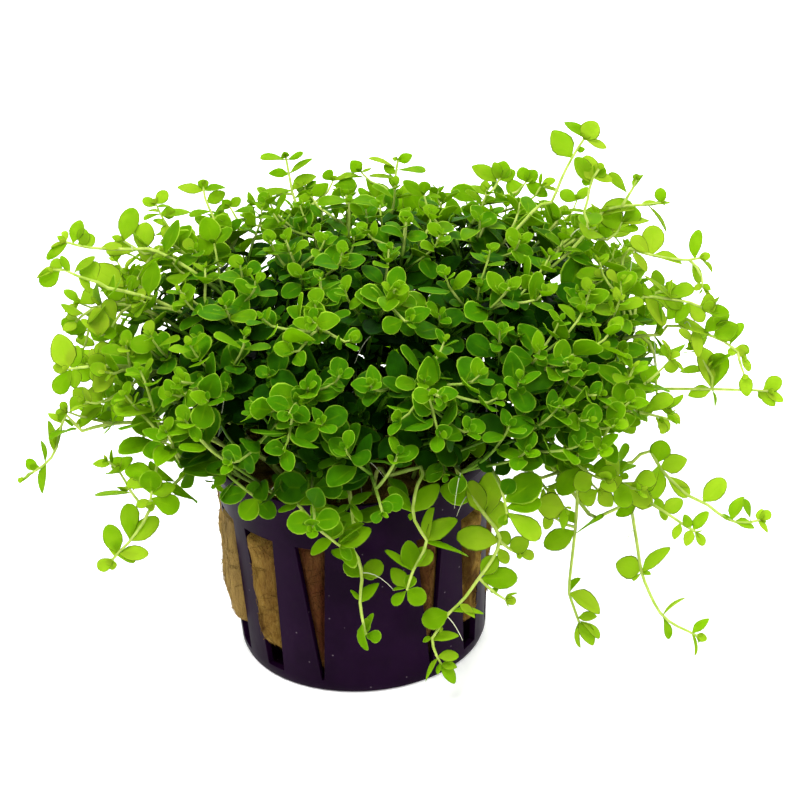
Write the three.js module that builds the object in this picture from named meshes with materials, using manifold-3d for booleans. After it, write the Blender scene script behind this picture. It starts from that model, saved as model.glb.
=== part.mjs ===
// Potted pearlweed: a slotted net pot, a mineral wool plug and a mound of leafy shoots.
// Millimetres, +Z up. The origin is the centre of the pot's flat base, and the front faces -Y.

import * as THREE from 'three';
import { mergeVertices } from 'three/addons/utils/BufferGeometryUtils.js';
import { ConvexGeometry } from 'three/addons/geometries/ConvexGeometry.js';
import Module from 'manifold-3d';

const wasm = await Module();
wasm.setup();

const UP = new THREE.Vector3(0, 0, 1);
const radians = THREE.MathUtils.degToRad;
const MERGE_DISTANCE = 1e-4;

// Net pot
const POT_HEIGHT = 44;
const RIM_RADIUS = 28;
const RIM_BAND = 2.4;
const RIM_ROUNDING = 0.5;
const NECK_RADIUS = 26.9;
const BASE_RADIUS = 24.2;
const FOOT_CHAMFER = 1.4;
const WALL = 1.2;
const RIM_WALL = 1.5;
const WALL_SLOPE = (NECK_RADIUS - BASE_RADIUS) / (POT_HEIGHT - RIM_BAND - FOOT_CHAMFER);
const FLOOR = 1.6;
const FLOOR_FILLET = 1;
const POT_SIDES = 28;

// Slots, on a ring of equal pitches that leaves one panel whole in front and one behind
const SLOT_PITCHES = 14;
const SLOT_PITCH = 2 * Math.PI / SLOT_PITCHES;
const FRONT_PANEL_ANGLE = radians(-84);
const SLOT_BOTTOM = 2.8;
const SLOT_TOP = 33.5;
const SLOT_WIDTHS = { bottom: 4.2, top: 7.6 };
const WEDGE_WIDTHS = { bottom: 0.5, top: 6 };
const SLOT_BLOCK_FROM = 17;

// How far a cut runs past the face it goes through
const OVERSHOOT = 2;

// Drain slots in the floor
const DRAIN_COUNT = 7;
const DRAIN_INNER = 8;
const DRAIN_OUTER = 17;
const DRAIN_WIDTH = 3;

// Mineral wool plug: narrower at its foot, and pushed out through the slots
const FIT_GAP = 0.4;
const WOOL_TOP = 40.5;
const WOOL_TOP_RADIUS = 22;
const WOOL_EDGE = 1;
const WOOL_FOOT_RADIUS = 19;
const WOOL_FULL_WIDTH_Z = 9;
const WOOL_SLOT_BOTTOM = 7.5;
const WOOL_SLOT_TOP = 33;
const WOOL_PROUD = 0.6;
const WOOL_WEDGE_BOTTOM = 12;
const WOOL_ROUNDING = 0.6;
const WOOL_SIDES = 14;

// Shoots: a stem rises from the plug, crests above the rim and arches out to its tip
const SHOOT_COUNT = 58;
const STEM_RADIUS = 0.55;
const STEM_RING_STEP = 15;
const CREST = 14;
const LIFT = { least: 7, perClimb: 0.5, perDrop: 0.55 };
const LEAN = { perRun: 0.16, perDrop: 0.2 };
const LAST_STRETCH = { perChord: 0.36, perDrop: 0.004 };

// Roots: low and far tips grow from near the wall, high ones from near the middle
const ROOT_RADIUS_MIN = 2.5;
const ROOT_RADIUS_MAX = 20.5;
const ROOT_RADIUS_IDEAL = { least: 2, perReach: 0.15, perDrop: 0.18, highest: 90, most: 18.5 };
const ROOT_JITTER = { angle: 0.15, angleStep: 0.008, radius: 2, radiusStep: 0.08 };
const ROOT_TRIES = 160;
const STEM_CLEARANCE = 1.9;
const WALL_CLEARANCE = 1.4;
const STEM_SAMPLES = 48;

// Leaf pairs, counted from the tip of a shoot
const NODE_HEIGHT = 0.9;
const NODE_FROM_TIP = [0.9, 3.1, 7.2, 12.6, 19];
const MORE_NODES_BELOW = 62;
const LEAF_LENGTH = [3.6, 5, 6, 6.6, 6.8];
const LEAF_RISE = [42, 22, 14, 10, 8];
const LEAF_WIDTH_RATIO = 0.76;
const LEAF_SHOULDER = 0.54;
const LEAF_SIZE_SPREAD = 0.24;
const LIGHT_LIFT = 0.18;
const LIGHT_LEVEL = 0.45;
const LIGHT_TURN = 0.8;
const HANGING_SLOPE = -0.3;
const FIRST_LEAF_ANGLE = 60;
const PAIR_TURN = 90;
const NODE_TWIST = -30;
const LEAF_CLEARANCE = 0.3;
const LEAF_TURNS = [0, 25, -25, 50, -50];
const LEAF_SCALES = [1, 0.8, 0.62];

// The mound that the shoot tips fill wherever no tip is set by hand
const MOUND_CENTRE = new THREE.Vector3(7, 3, 59);
const MOUND_RADII = new THREE.Vector3(60, 52, 28);
const MOUND_LOWEST = -0.3;
const MOUND_STEPS = 140;
const TIP_SPACING = 16.8;
const GOLDEN_ANGLE = Math.PI * (3 - Math.sqrt(5));

// Side shoots, in the gaps between the tips: each leaves the free side of a leaf node, and ends
// in a crown of four leaves
const CROWN_STEPS = 420;
const CROWN_LOWEST = -0.5;
const CROWN_SPACING = 13.2;
const FORK_NODES = [3, 4];
const BRANCH_REACH = { least: 7, most: 24 };
const BRANCH_LEAN = 0.3;
const BRANCH_HALF_WIDTH = 0.4;
const LEAN_COST = 13;
const CROWN_LEAF_LENGTH = [4.8, 5.8];
const CROWN_LEAF_RISE = 22;
const CROWN_BUD = 0.8;
const BRANCH_SAMPLE_STEP = 1;

// Tips that stand out of the mound or hang below it: x, y, z, then the pitch of the last
// stretch and how far it swings round from straight outwards, in degrees
const OUTER_TIPS = [
  [47, 15, 99, 70, 0], [51, 6, 91, 78, 0], [60, 15, 85, 30, 0], [67, 5, 75, 8, 0],
  [64, -8, 67, -8, 0], [74, -6, 61, -25, 0], [82, 0, 49, 4, 0], [60, -20, 54, -12, 0],
  [77, -15, 30, -8, 0], [65, -26, 33, -24, 0], [64, -26, 10, -38, 0], [43, -27, 12, -84, 0],
  [16, -32, 9, -44, -95], [8, -35, 27, -72, -40], [1, -34, 17, -84, 20], [-15, -33, 46, -24, 0],
  [-4, -37, 39, -45, 30], [26, -40, 46, -30, 0], [-46, -26, 34, -44, 0], [-38, -30, 49, -26, 0],
  [-61, -12, 45, -66, 0], [-53, -15, 66, -12, 0], [-56, -5, 82, 2, 0], [-51, 8, 87.5, 8, 0],
  [-51, 0, 71, -50, 0], [-39, 12, 88, 42, 0], [-26.5, 26, 86.5, 66, 0], [-9, 38, 85, 76, 0],
  [11.5, 40, 83.5, 74, 0], [31, 36, 83, 62, 0], [-30, 48, 40, -46, 0], [12, 54, 33, -58, 0],
  [48, 40, 38, -40, 0], [-52, 26, 48, -38, 0], [10, -23, 86, 52, 0], [-5, -30, 84, 40, 0],
  [17, -45, 75, 12, 0], [-10, -44, 73, 10, 0],
];

const POT_LOOK = { color: 0x2a1433, roughness: 0.35, metalness: 0 };
const WOOL_LOOK = { color: 0x96702f, roughness: 0.95, metalness: 0 };
const LEAF_LOOK = { color: 0x5fae12, roughness: 0.5, metalness: 0 };

// A repeatable number from 0 to 1 for shoot n and choice k
function hash(n, k) {
  const value = Math.sin(n * 127.1 + k * 311.7) * 43758.5453;
  return value - Math.floor(value);
}

function polar(radius, angle, z) {
  return new THREE.Vector3(radius * Math.cos(angle), radius * Math.sin(angle), z);
}

function indexed(positions, triangles) {
  const geometry = new THREE.BufferGeometry();
  geometry.setAttribute('position', new THREE.BufferAttribute(new Float32Array(positions), 3));
  geometry.setIndex(new THREE.BufferAttribute(new Uint32Array(triangles), 1));
  geometry.computeVertexNormals();
  return geometry;
}

// A closed geometry becomes a solid once its shared vertices are one
function toSolid(geometry) {
  const bare = geometry.clone();
  for (const name of Object.keys(bare.attributes)) {
    if (name !== 'position') {
      bare.deleteAttribute(name);
    }
  }
  const merged = mergeVertices(bare, MERGE_DISTANCE);
  const corners = merged.index.array;
  const triangles = [];
  for (let i = 0; i < corners.length; i += 3) {
    const [a, b, c] = [corners[i], corners[i + 1], corners[i + 2]];
    if (a !== b && b !== c && c !== a) {
      triangles.push(a, b, c);
    }
  }
  return new wasm.Manifold(new wasm.Mesh({
    numProp: 3,
    vertProperties: new Float32Array(merged.attributes.position.array),
    triVerts: new Uint32Array(triangles),
  }));
}

function toGeometry(solid) {
  const mesh = solid.getMesh();
  return indexed(mesh.vertProperties, mesh.triVerts);
}

// A profile of radius and height, turned about the pot's axis
function turned(profile, sides) {
  const points = profile.map(([radius, z]) => new THREE.Vector2(radius, z));
  const geometry = new THREE.LatheGeometry(points, sides);
  geometry.rotateX(Math.PI / 2);
  return toSolid(geometry);
}

// An outline of tangent and height, pushed outwards from the axis at an angle
function radialBlock(outline, angle, from, to, round = 0) {
  const shape = new THREE.Shape(outline.map(([x, z]) => new THREE.Vector2(x, z)));
  const bevel = { bevelSize: round, bevelOffset: -round, bevelThickness: round, bevelSegments: 1 };
  const depth = to - from - round;
  const geometry = new THREE.ExtrudeGeometry(shape, { depth, bevelEnabled: round > 0, ...bevel });
  geometry.translate(0, 0, from);
  const tangent = new THREE.Vector3(0, 1, 0);
  const outwards = new THREE.Vector3(1, 0, 0);
  geometry.applyMatrix4(new THREE.Matrix4().makeBasis(tangent, UP, outwards));
  if (round > 0) {
    geometry.applyMatrix4(new THREE.Matrix4().makeShear(0, 0, 0, 0, WALL_SLOPE, 0));
  }
  geometry.rotateZ(angle);
  return toSolid(geometry);
}

// Outer radius of the pot wall between its foot and its neck
function wallRadius(z) {
  return BASE_RADIUS + WALL_SLOPE * (z - FOOT_CHAMFER);
}

// The slots next to a whole panel narrow to a wedge, and the others taper a little
function isWedge(slot) {
  const fromPanel = slot % (SLOT_PITCHES / 2);
  return fromPanel === 1 || fromPanel === SLOT_PITCHES / 2 - 1;
}

function slotHalfWidth(slot, z) {
  const widths = isWedge(slot) ? WEDGE_WIDTHS : SLOT_WIDTHS;
  const share = (z - SLOT_BOTTOM) / (SLOT_TOP - SLOT_BOTTOM);
  return THREE.MathUtils.lerp(widths.bottom, widths.top, share) / 2;
}

function slotBlock(slot, bottom, top, clearance, reach, round = 0) {
  const low = slotHalfWidth(slot, bottom) - clearance;
  const high = slotHalfWidth(slot, top) - clearance;
  const outline = [[-low, bottom], [low, bottom], [high, top], [-high, top]];
  const angle = FRONT_PANEL_ANGLE + slot * SLOT_PITCH;
  return radialBlock(outline, angle, SLOT_BLOCK_FROM, reach, round);
}

function slotNumbers() {
  const slots = [];
  for (let slot = 1; slot < SLOT_PITCHES; slot += 1) {
    if (slot !== SLOT_PITCHES / 2) {
      slots.push(slot);
    }
  }
  return slots;
}

function potSolid() {
  const neckZ = POT_HEIGHT - RIM_BAND;
  let pot = turned([
    [0, 0], [BASE_RADIUS - FOOT_CHAMFER, 0], [BASE_RADIUS, FOOT_CHAMFER],
    [NECK_RADIUS, neckZ], [RIM_RADIUS, neckZ + RIM_ROUNDING], [RIM_RADIUS, POT_HEIGHT],
    [RIM_RADIUS - RIM_WALL, POT_HEIGHT], [NECK_RADIUS - WALL, neckZ],
    [BASE_RADIUS - WALL, FLOOR + FLOOR_FILLET], [BASE_RADIUS - WALL - FLOOR_FILLET, FLOOR],
    [0, FLOOR],
  ], POT_SIDES);
  for (const slot of slotNumbers()) {
    pot = pot.subtract(slotBlock(slot, SLOT_BOTTOM, SLOT_TOP, 0, RIM_RADIUS + OVERSHOOT));
  }
  const [side, below, above] = [DRAIN_WIDTH / 2, -OVERSHOOT, FLOOR + OVERSHOOT];
  const drain = [[-side, below], [side, below], [side, above], [-side, above]];
  for (let i = 0; i < DRAIN_COUNT; i += 1) {
    const angle = FRONT_PANEL_ANGLE + i * 2 * Math.PI / DRAIN_COUNT;
    pot = pot.subtract(radialBlock(drain, angle, DRAIN_INNER, DRAIN_OUTER));
  }
  return pot;
}

function woolSolid() {
  const inside = (z) => wallRadius(z) - WALL - FIT_GAP;
  const footZ = FLOOR + FIT_GAP;
  let wool = turned([
    [0, footZ], [WOOL_FOOT_RADIUS, footZ], [inside(WOOL_FULL_WIDTH_Z), WOOL_FULL_WIDTH_Z],
    [inside(WOOL_TOP - WOOL_EDGE), WOOL_TOP - WOOL_EDGE], [WOOL_TOP_RADIUS, WOOL_TOP], [0, WOOL_TOP],
  ], WOOL_SIDES);
  const reach = BASE_RADIUS - WALL_SLOPE * FOOT_CHAMFER + WOOL_PROUD;
  for (const slot of slotNumbers()) {
    const bottom = isWedge(slot) ? WOOL_WEDGE_BOTTOM : WOOL_SLOT_BOTTOM;
    const block = slotBlock(slot, bottom, WOOL_SLOT_TOP, FIT_GAP, reach, WOOL_ROUNDING);
    wool = wool.add(block);
  }
  return wool;
}

// A stem leaves the plug upwards, arches over and ends along its own last stretch
function stemCurve(root, tip) {
  const heading = new THREE.Vector3(tip.at.x - root.x, tip.at.y - root.y, 0);
  const run = heading.length();
  heading.normalize();
  const chord = root.distanceTo(tip.at);
  const climb = Math.max(0, tip.at.z - root.z);
  const drop = Math.max(0, root.z + CREST - tip.at.z);
  const lift = LIFT.least + LIFT.perClimb * climb + LIFT.perDrop * drop;
  const lean = LEAN.perRun * run + LEAN.perDrop * drop;
  const stretch = (LAST_STRETCH.perChord + LAST_STRETCH.perDrop * drop) * chord;
  const end = heading.clone().applyAxisAngle(UP, tip.swing).multiplyScalar(Math.cos(tip.pitch));
  end.addScaledVector(UP, Math.sin(tip.pitch));
  const rise = root.clone().addScaledVector(heading, lean).addScaledVector(UP, lift);
  const reach = tip.at.clone().addScaledVector(end, -stretch);
  const curve = new THREE.CubicBezierCurve3(root, rise, reach, tip.at);
  return { curve, side: new THREE.Vector3().crossVectors(heading, UP), length: curve.getLength() };
}

function handTips() {
  return OUTER_TIPS.map(([x, y, z, pitch, swing]) => ({
    at: new THREE.Vector3(x, y, z), pitch: radians(pitch), swing: radians(swing),
  }));
}

// A point of the mound, on a spiral from its top down
function moundPoint(i, steps, lowest) {
  const height = 1 - (1 - lowest) * (i + 0.5) / steps;
  const across = Math.sqrt(1 - height * height);
  return polar(across, i * GOLDEN_ANGLE, height).multiply(MOUND_RADII).add(MOUND_CENTRE);
}

function moundTips(tips) {
  for (let i = 0; i < MOUND_STEPS && tips.length < SHOOT_COUNT; i += 1) {
    const at = moundPoint(i, MOUND_STEPS, MOUND_LOWEST);
    if (tips.every((other) => other.at.distanceTo(at) > TIP_SPACING)) {
      tips.push({ at, pitch: Math.asin((at.z - MOUND_CENTRE.z) / MOUND_RADII.z), swing: 0 });
    }
  }
  return tips;
}

function isClearOfWall(point) {
  const radius = Math.hypot(point.x, point.y);
  return point.z > POT_HEIGHT + WALL_CLEARANCE || radius > RIM_RADIUS + WALL_CLEARANCE
    || point.z > WOOL_TOP && radius < NECK_RADIUS - WALL - WALL_CLEARANCE;
}

function idealRootRadius(tip) {
  const ideal = ROOT_RADIUS_IDEAL;
  const reach = Math.hypot(tip.at.x, tip.at.y);
  const radius = ideal.least + ideal.perReach * reach + ideal.perDrop * (ideal.highest - tip.at.z);
  return THREE.MathUtils.clamp(radius, ROOT_RADIUS_MIN, ideal.most);
}

// The root goes where the stem stays clear of the pot and of the stems already placed
function placeStem(tip, n, placed) {
  const bearing = Math.atan2(tip.at.y, tip.at.x);
  for (let attempt = 0; attempt < ROOT_TRIES; attempt += 1) {
    const turn = (2 * hash(n, attempt) - 1) * (ROOT_JITTER.angle + ROOT_JITTER.angleStep * attempt);
    const shift = (2 * hash(n, attempt + 0.5) - 1)
      * (ROOT_JITTER.radius + ROOT_JITTER.radiusStep * attempt);
    const radius = THREE.MathUtils.clamp(
      idealRootRadius(tip) + shift, ROOT_RADIUS_MIN, ROOT_RADIUS_MAX);
    const stem = stemCurve(polar(radius, bearing + turn, WOOL_TOP + FIT_GAP), tip);
    const points = stem.curve.getSpacedPoints(STEM_SAMPLES);
    const isFree = placed.every((other) => points.every(
      (p) => other.points.every((q) => p.distanceTo(q) > STEM_CLEARANCE)));
    if (isFree && points.every(isClearOfWall)) {
      return { ...stem, points };
    }
  }
  throw new Error(`no clear root for shoot ${n}`);
}

// Axes across the stem at a distance from its tip
function frameAt(stem, fromTip) {
  const share = 1 - fromTip / stem.length;
  const along = stem.curve.getTangentAt(share);
  const side = stem.side.clone().addScaledVector(along, -stem.side.dot(along)).normalize();
  const over = new THREE.Vector3().crossVectors(along, side);
  return { at: stem.curve.getPointAt(share), along, side, over };
}

function across(frame, angle) {
  return frame.side.clone().multiplyScalar(Math.cos(angle)).addScaledVector(frame.over, Math.sin(angle));
}

function ring(frame, angle) {
  const corners = [];
  for (let j = 0; j < 3; j += 1) {
    const corner = across(frame, angle + j * 2 * Math.PI / 3);
    corners.push(corner.multiplyScalar(STEM_RADIUS).add(frame.at));
  }
  return corners;
}

// Outline of one leaf: two shoulders and an end, turned towards the light
function leafOutline(frame, angle, rise, length) {
  const axis = across(frame, angle).multiplyScalar(Math.cos(rise));
  axis.addScaledVector(frame.along, Math.sin(rise));
  axis.addScaledVector(UP, LIGHT_LIFT - LIGHT_LEVEL * axis.z).normalize();
  const isHanging = frame.along.z < HANGING_SLOPE;
  const face = frame.along.clone().addScaledVector(UP, isHanging ? -LIGHT_TURN : LIGHT_TURN);
  face.addScaledVector(axis, -face.dot(axis)).normalize();
  const wide = new THREE.Vector3().crossVectors(face, axis);
  const half = length * LEAF_WIDTH_RATIO / 2;
  const place = (out, over) => frame.at.clone().addScaledVector(axis, out * length)
    .addScaledVector(wide, over * half);
  return { face, points: [place(LEAF_SHOULDER, -1), place(1, 0), place(LEAF_SHOULDER, 1)] };
}

// A leaf's room is its outline with clearance above and below
function leafRoom(base, leaf) {
  const points = [...base];
  for (const point of leaf.points) {
    points.push(point.clone().addScaledVector(leaf.face, LEAF_CLEARANCE));
    points.push(point.clone().addScaledVector(leaf.face, -LEAF_CLEARANCE));
  }
  return toSolid(new ConvexGeometry(points));
}

function boxOf(solid) {
  const { min, max } = solid.boundingBox();
  return new THREE.Box3(new THREE.Vector3(...min), new THREE.Vector3(...max));
}

function isClear(room, obstacles) {
  const box = boxOf(room);
  return obstacles.every((other) => !box.intersectsBox(other.box)
    || room.intersect(other.solid).isEmpty());
}

// The stem's section turns a little from node to node, with the leaf pairs
function nodeAngle(twist, k) {
  return twist + radians(NODE_TWIST) * k;
}

// Rings of the stem from root to tip, two at each leaf node
function stemRings(stem, nodes, twist) {
  const last = NODE_FROM_TIP[nodes - 1];
  const plain = Math.max(1, Math.round((stem.length - last) / STEM_RING_STEP));
  const rings = [];
  for (let i = 0; i < plain; i += 1) {
    const fromTip = stem.length - (stem.length - last) * i / plain;
    rings.push(ring(frameAt(stem, fromTip), nodeAngle(twist, nodes - 1)));
  }
  for (let k = nodes - 1; k >= 0; k -= 1) {
    rings.push(ring(frameAt(stem, NODE_FROM_TIP[k] + NODE_HEIGHT / 2), nodeAngle(twist, k)));
    rings.push(ring(frameAt(stem, NODE_FROM_TIP[k] - NODE_HEIGHT / 2), nodeAngle(twist, k)));
  }
  return rings;
}

// Triangles of a leaf that grows out of the wall a b c d of its stem
function leafTriangles([a, b, c, d], [s, t, u]) {
  return [d, s, t, d, t, c, c, t, u, a, t, s, a, b, t, b, u, t, s, d, a, b, c, u];
}

// Triangles of a wall that nothing grows out of
function wallTriangles([a, b, c, d]) {
  return [a, b, c, a, c, d];
}

// Triangles of a side shoot that grows out of a wall: its stem, its crown of leaves and its bud
function branchTriangles(wall, branch, put) {
  const [low, high] = branch.rings.map((corners) => corners.map(put));
  const bud = put(branch.bud);
  const triangles = [];
  for (let e = 0; e < 4; e += 1) {
    const next = (e + 1) % 4;
    triangles.push(...wallTriangles([wall[e], wall[next], low[next], low[e]]));
    const crownWall = [low[e], low[next], high[next], high[e]];
    const leaf = branch.leaves[e];
    triangles.push(...(leaf ? leafTriangles(crownWall, leaf.points.map(put)) : wallTriangles(crownWall)));
    triangles.push(high[e], high[next], bud);
  }
  return triangles;
}

// Stem wall, leaves and side shoot as one closed surface
function shootGeometry(shoot) {
  const positions = [];
  const triangles = [];
  const put = (point) => positions.push(point.x, point.y, point.z) / 3 - 1;
  for (const corners of shoot.rings) {
    corners.forEach(put);
  }
  const apex = put(shoot.stem.curve.getPointAt(1));
  const last = (shoot.rings.length - 1) * 3;
  triangles.push(2, 1, 0, last, last + 1, apex, last + 1, last + 2, apex, last + 2, last, apex);
  for (let i = 0; i < shoot.rings.length - 1; i += 1) {
    for (let j = 0; j < 3; j += 1) {
      const [a, b] = [i * 3 + j, i * 3 + (j + 1) % 3];
      const wall = [a, b, b + 3, a + 3];
      const leaf = shoot.leaves.get(`${i}:${j}`);
      const branch = shoot.branches.get(`${i}:${j}`);
      if (leaf) {
        triangles.push(...leafTriangles(wall, leaf.points.map(put)));
      } else if (branch) {
        triangles.push(...branchTriangles(wall, branch, put));
      } else {
        triangles.push(...wallTriangles(wall));
      }
    }
  }
  return indexed(positions, triangles);
}

function plantShoots() {
  const shoots = [];
  moundTips(handTips()).forEach((tip, n) => {
    const stem = placeStem(tip, n, shoots.map((shoot) => shoot.stem));
    const nodes = NODE_FROM_TIP.length - (tip.at.z < MORE_NODES_BELOW ? 0 : 1);
    const twist = hash(n, SHOOT_COUNT) * 2 * Math.PI / 3;
    const rings = stemRings(stem, nodes, twist);
    shoots.push({ n, stem, nodes, twist, rings, leaves: new Map(), branches: new Map() });
  });
  return shoots;
}

// The lower of the two rings at leaf node k
function nodeRing(shoot, k) {
  return shoot.rings.length - 2 * (k + 1);
}

function wallAt(shoot, i, j) {
  const next = (j + 1) % 3;
  const [low, high] = [shoot.rings[i], shoot.rings[i + 1]];
  return [low[j], low[next], high[next], high[j]];
}

function linePoints(from, to, step) {
  const count = Math.ceil(from.distanceTo(to) / step);
  return Array.from({ length: count }, (_, i) => from.clone().lerp(to, (i + 1) / count));
}

// Ways for a side shoot to reach a point of the mound, from the free sides of the leaf nodes
function waysTo(at, shoots) {
  const ways = [];
  for (const shoot of shoots) {
    for (const k of FORK_NODES.filter((node) => node < shoot.nodes)) {
      const frame = frameAt(shoot.stem, NODE_FROM_TIP[k]);
      const chord = at.distanceTo(frame.at);
      const towards = at.clone().sub(frame.at).normalize();
      const isUsed = [...shoot.branches.values()].some((branch) => branch.k === k);
      for (const half of isUsed ? [] : [1, 2]) {
        const j = (k + half) % 3;
        const outwards = across(frame, nodeAngle(shoot.twist, k) + (2 * j + 1) * Math.PI / 3);
        const isAside = towards.dot(outwards) > BRANCH_LEAN && towards.dot(frame.along) > 0;
        if (isAside && chord > BRANCH_REACH.least && chord < BRANCH_REACH.most) {
          const cost = chord + LEAN_COST * (1 - towards.dot(frame.along));
          ways.push({ shoot, k, half, j, from: frame.at, towards, cost });
        }
      }
    }
  }
  return ways.sort((one, other) => one.cost - other.cost);
}

// A side shoot from a leaf node to its crown
function makeBranch(at, way) {
  const normal = at.clone().sub(MOUND_CENTRE).divide(MOUND_RADII).divide(MOUND_RADII).normalize();
  const end = normal.add(way.towards).add(UP).normalize();
  const wall = wallAt(way.shoot, nodeRing(way.shoot, way.k), way.j);
  const side = wall[1].clone().sub(wall[0]);
  side.addScaledVector(end, -side.dot(end)).normalize();
  const over = new THREE.Vector3().crossVectors(end, side);
  const ringAt = (height) => [[-1, -1], [1, -1], [1, 1], [-1, 1]].map(([x, y]) => at.clone()
    .addScaledVector(end, height).addScaledVector(side, x * BRANCH_HALF_WIDTH)
    .addScaledVector(over, y * BRANCH_HALF_WIDTH));
  return {
    ...way, wall, frame: { at, along: end, side, over }, leaves: [],
    rings: [ringAt(-NODE_HEIGHT / 2), ringAt(NODE_HEIGHT / 2)],
    bud: at.clone().addScaledVector(end, NODE_HEIGHT / 2 + CROWN_BUD),
  };
}

// Side shoots fill the widest gaps of the mound, clear of all stems
function growBranches(shoots) {
  const crowns = shoots.map((shoot) => shoot.stem.curve.v3);
  const lines = shoots.map((shoot) => shoot.stem.points);
  const branches = [];
  for (let i = 0; i < CROWN_STEPS; i += 1) {
    const at = moundPoint(i, CROWN_STEPS, CROWN_LOWEST);
    if (crowns.every((other) => other.distanceTo(at) > CROWN_SPACING)) {
      for (const way of waysTo(at, shoots)) {
        const points = linePoints(way.from, at, BRANCH_SAMPLE_STEP).slice(1);
        const isFree = lines.every((line, n) => line === way.shoot.stem.points
          || points.every((p) => line.every((q) => p.distanceTo(q) > STEM_CLEARANCE)));
        if (isFree && points.every(isClearOfWall)) {
          const branch = makeBranch(at, way);
          way.shoot.branches.set(`${nodeRing(way.shoot, way.k)}:${way.j}`, branch);
          crowns.push(at);
          lines.push(points);
          branches.push(branch);
          break;
        }
      }
    }
  }
  return branches;
}

function obstacle(solid, owner = null, isLeaf = false) {
  return { solid, box: boxOf(solid), owner, isLeaf };
}

// A leaf, turned or made smaller until it is clear of all that stands round it, or no leaf
function fitLeaf(owner, wall, frame, angle, rise, fullLength, obstacles) {
  const others = obstacles.filter((other) => other.owner !== owner || other.isLeaf);
  for (const scale of LEAF_SCALES) {
    for (const turn of LEAF_TURNS) {
      const turned = angle + radians(turn);
      const leaf = leafOutline(frame, turned, radians(rise), fullLength * scale);
      const room = leafRoom(wall, leaf);
      if (isClear(room, others)) {
        obstacles.push(obstacle(room, owner, true));
        return leaf;
      }
    }
  }
  return null;
}

// One leaf of a pair: where a side shoot has taken its wall, it grows from the free one
function placeLeaf(shoot, k, half, obstacles) {
  const frame = frameAt(shoot.stem, NODE_FROM_TIP[k]);
  const i = nodeRing(shoot, k);
  const branch = [...shoot.branches.values()].find((other) => other.k === k);
  const j = (k + (half === 1 && branch && branch.half === 1 ? 2 : half)) % 3;
  const angle = shoot.twist + radians(FIRST_LEAF_ANGLE + PAIR_TURN * k) + Math.PI * half;
  const spread = 1 + LEAF_SIZE_SPREAD * (hash(shoot.n, SHOOT_COUNT + 2 * k + half + 1) - 0.5);
  const leaf = fitLeaf(shoot, wallAt(shoot, i, j), frame, angle, LEAF_RISE[k],
    LEAF_LENGTH[k] * spread, obstacles);
  if (leaf) {
    shoot.leaves.set(`${i}:${j}`, leaf);
  }
}

// One of the four leaves round the top of a side shoot
function placeCrownLeaf(branch, e, obstacles) {
  const next = (e + 1) % 4;
  const [low, high] = branch.rings;
  const wall = [low[e], low[next], high[next], high[e]];
  const angle = (e - 1) * Math.PI / 2;
  branch.leaves[e] = fitLeaf(branch, wall, branch.frame, angle, CROWN_LEAF_RISE,
    CROWN_LEAF_LENGTH[e % 2], obstacles);
}

const pot = potSolid();
const wool = woolSolid();
const shoots = plantShoots();
const obstacles = [obstacle(pot), obstacle(wool)];
for (const shoot of shoots) {
  obstacles.push(obstacle(toSolid(shootGeometry(shoot)), shoot));
}
const branches = growBranches(shoots);
for (const branch of branches) {
  const [low, high] = branch.rings;
  obstacles.push(obstacle(toSolid(new ConvexGeometry([...branch.wall, ...low]))));
  obstacles.push(obstacle(toSolid(new ConvexGeometry([...low, ...high, branch.bud])), branch));
}
for (let k = 0; k < NODE_FROM_TIP.length; k += 1) {
  for (const shoot of shoots.filter((other) => k < other.nodes)) {
    placeLeaf(shoot, k, 0, obstacles);
    placeLeaf(shoot, k, 1, obstacles);
  }
}
for (const branch of branches) {
  for (const e of [0, 2, 1, 3]) {
    placeCrownLeaf(branch, e, obstacles);
  }
}

const pearlweed = new THREE.Group();

function addPiece(name, geometry, look) {
  const mesh = new THREE.Mesh(geometry, new THREE.MeshStandardMaterial(look));
  mesh.name = name;
  pearlweed.add(mesh);
}

addPiece('pot', toGeometry(pot), POT_LOOK);
addPiece('wool_plug', toGeometry(wool), WOOL_LOOK);
for (const shoot of shoots) {
  addPiece(`shoot_${String(shoot.n + 1).padStart(2, '0')}`, shootGeometry(shoot), LEAF_LOOK);
}

export default pearlweed;
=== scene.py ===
import math

import bmesh
import bpy
import numpy as np
from mathutils import Matrix, Vector, noise


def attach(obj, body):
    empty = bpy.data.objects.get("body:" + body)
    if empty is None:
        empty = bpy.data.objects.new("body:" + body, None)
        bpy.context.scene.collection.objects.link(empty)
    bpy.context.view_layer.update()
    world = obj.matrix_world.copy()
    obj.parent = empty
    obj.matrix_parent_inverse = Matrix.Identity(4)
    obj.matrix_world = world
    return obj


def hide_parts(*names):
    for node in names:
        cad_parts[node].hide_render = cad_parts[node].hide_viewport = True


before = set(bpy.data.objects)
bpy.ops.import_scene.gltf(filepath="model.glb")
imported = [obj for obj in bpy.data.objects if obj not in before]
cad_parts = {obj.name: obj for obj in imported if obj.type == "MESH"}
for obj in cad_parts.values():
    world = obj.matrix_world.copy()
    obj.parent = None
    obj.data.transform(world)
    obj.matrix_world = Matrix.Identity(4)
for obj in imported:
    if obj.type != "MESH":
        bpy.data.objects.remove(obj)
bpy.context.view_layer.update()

# The view: the camera looks down at the pot from in front through a long lens, and leans a
# little clockwise, so the pot seems to lean left. Lengths here and below are in millimetres.
MM = 0.001
PICTURE_SIDE = 800
AIM = Vector((9.7, 0.0, 50.8))
EYE_DISTANCE = 600.0
NEAREST_SEEN = 10.0
ELEVATION = math.radians(28.3)
LEAN = math.radians(3.33)
LENS = 140.8
SENSOR = 36.0


def add_object(name, data):
    made = bpy.data.objects.new(name, data)
    bpy.context.scene.collection.objects.link(made)
    return made


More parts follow.
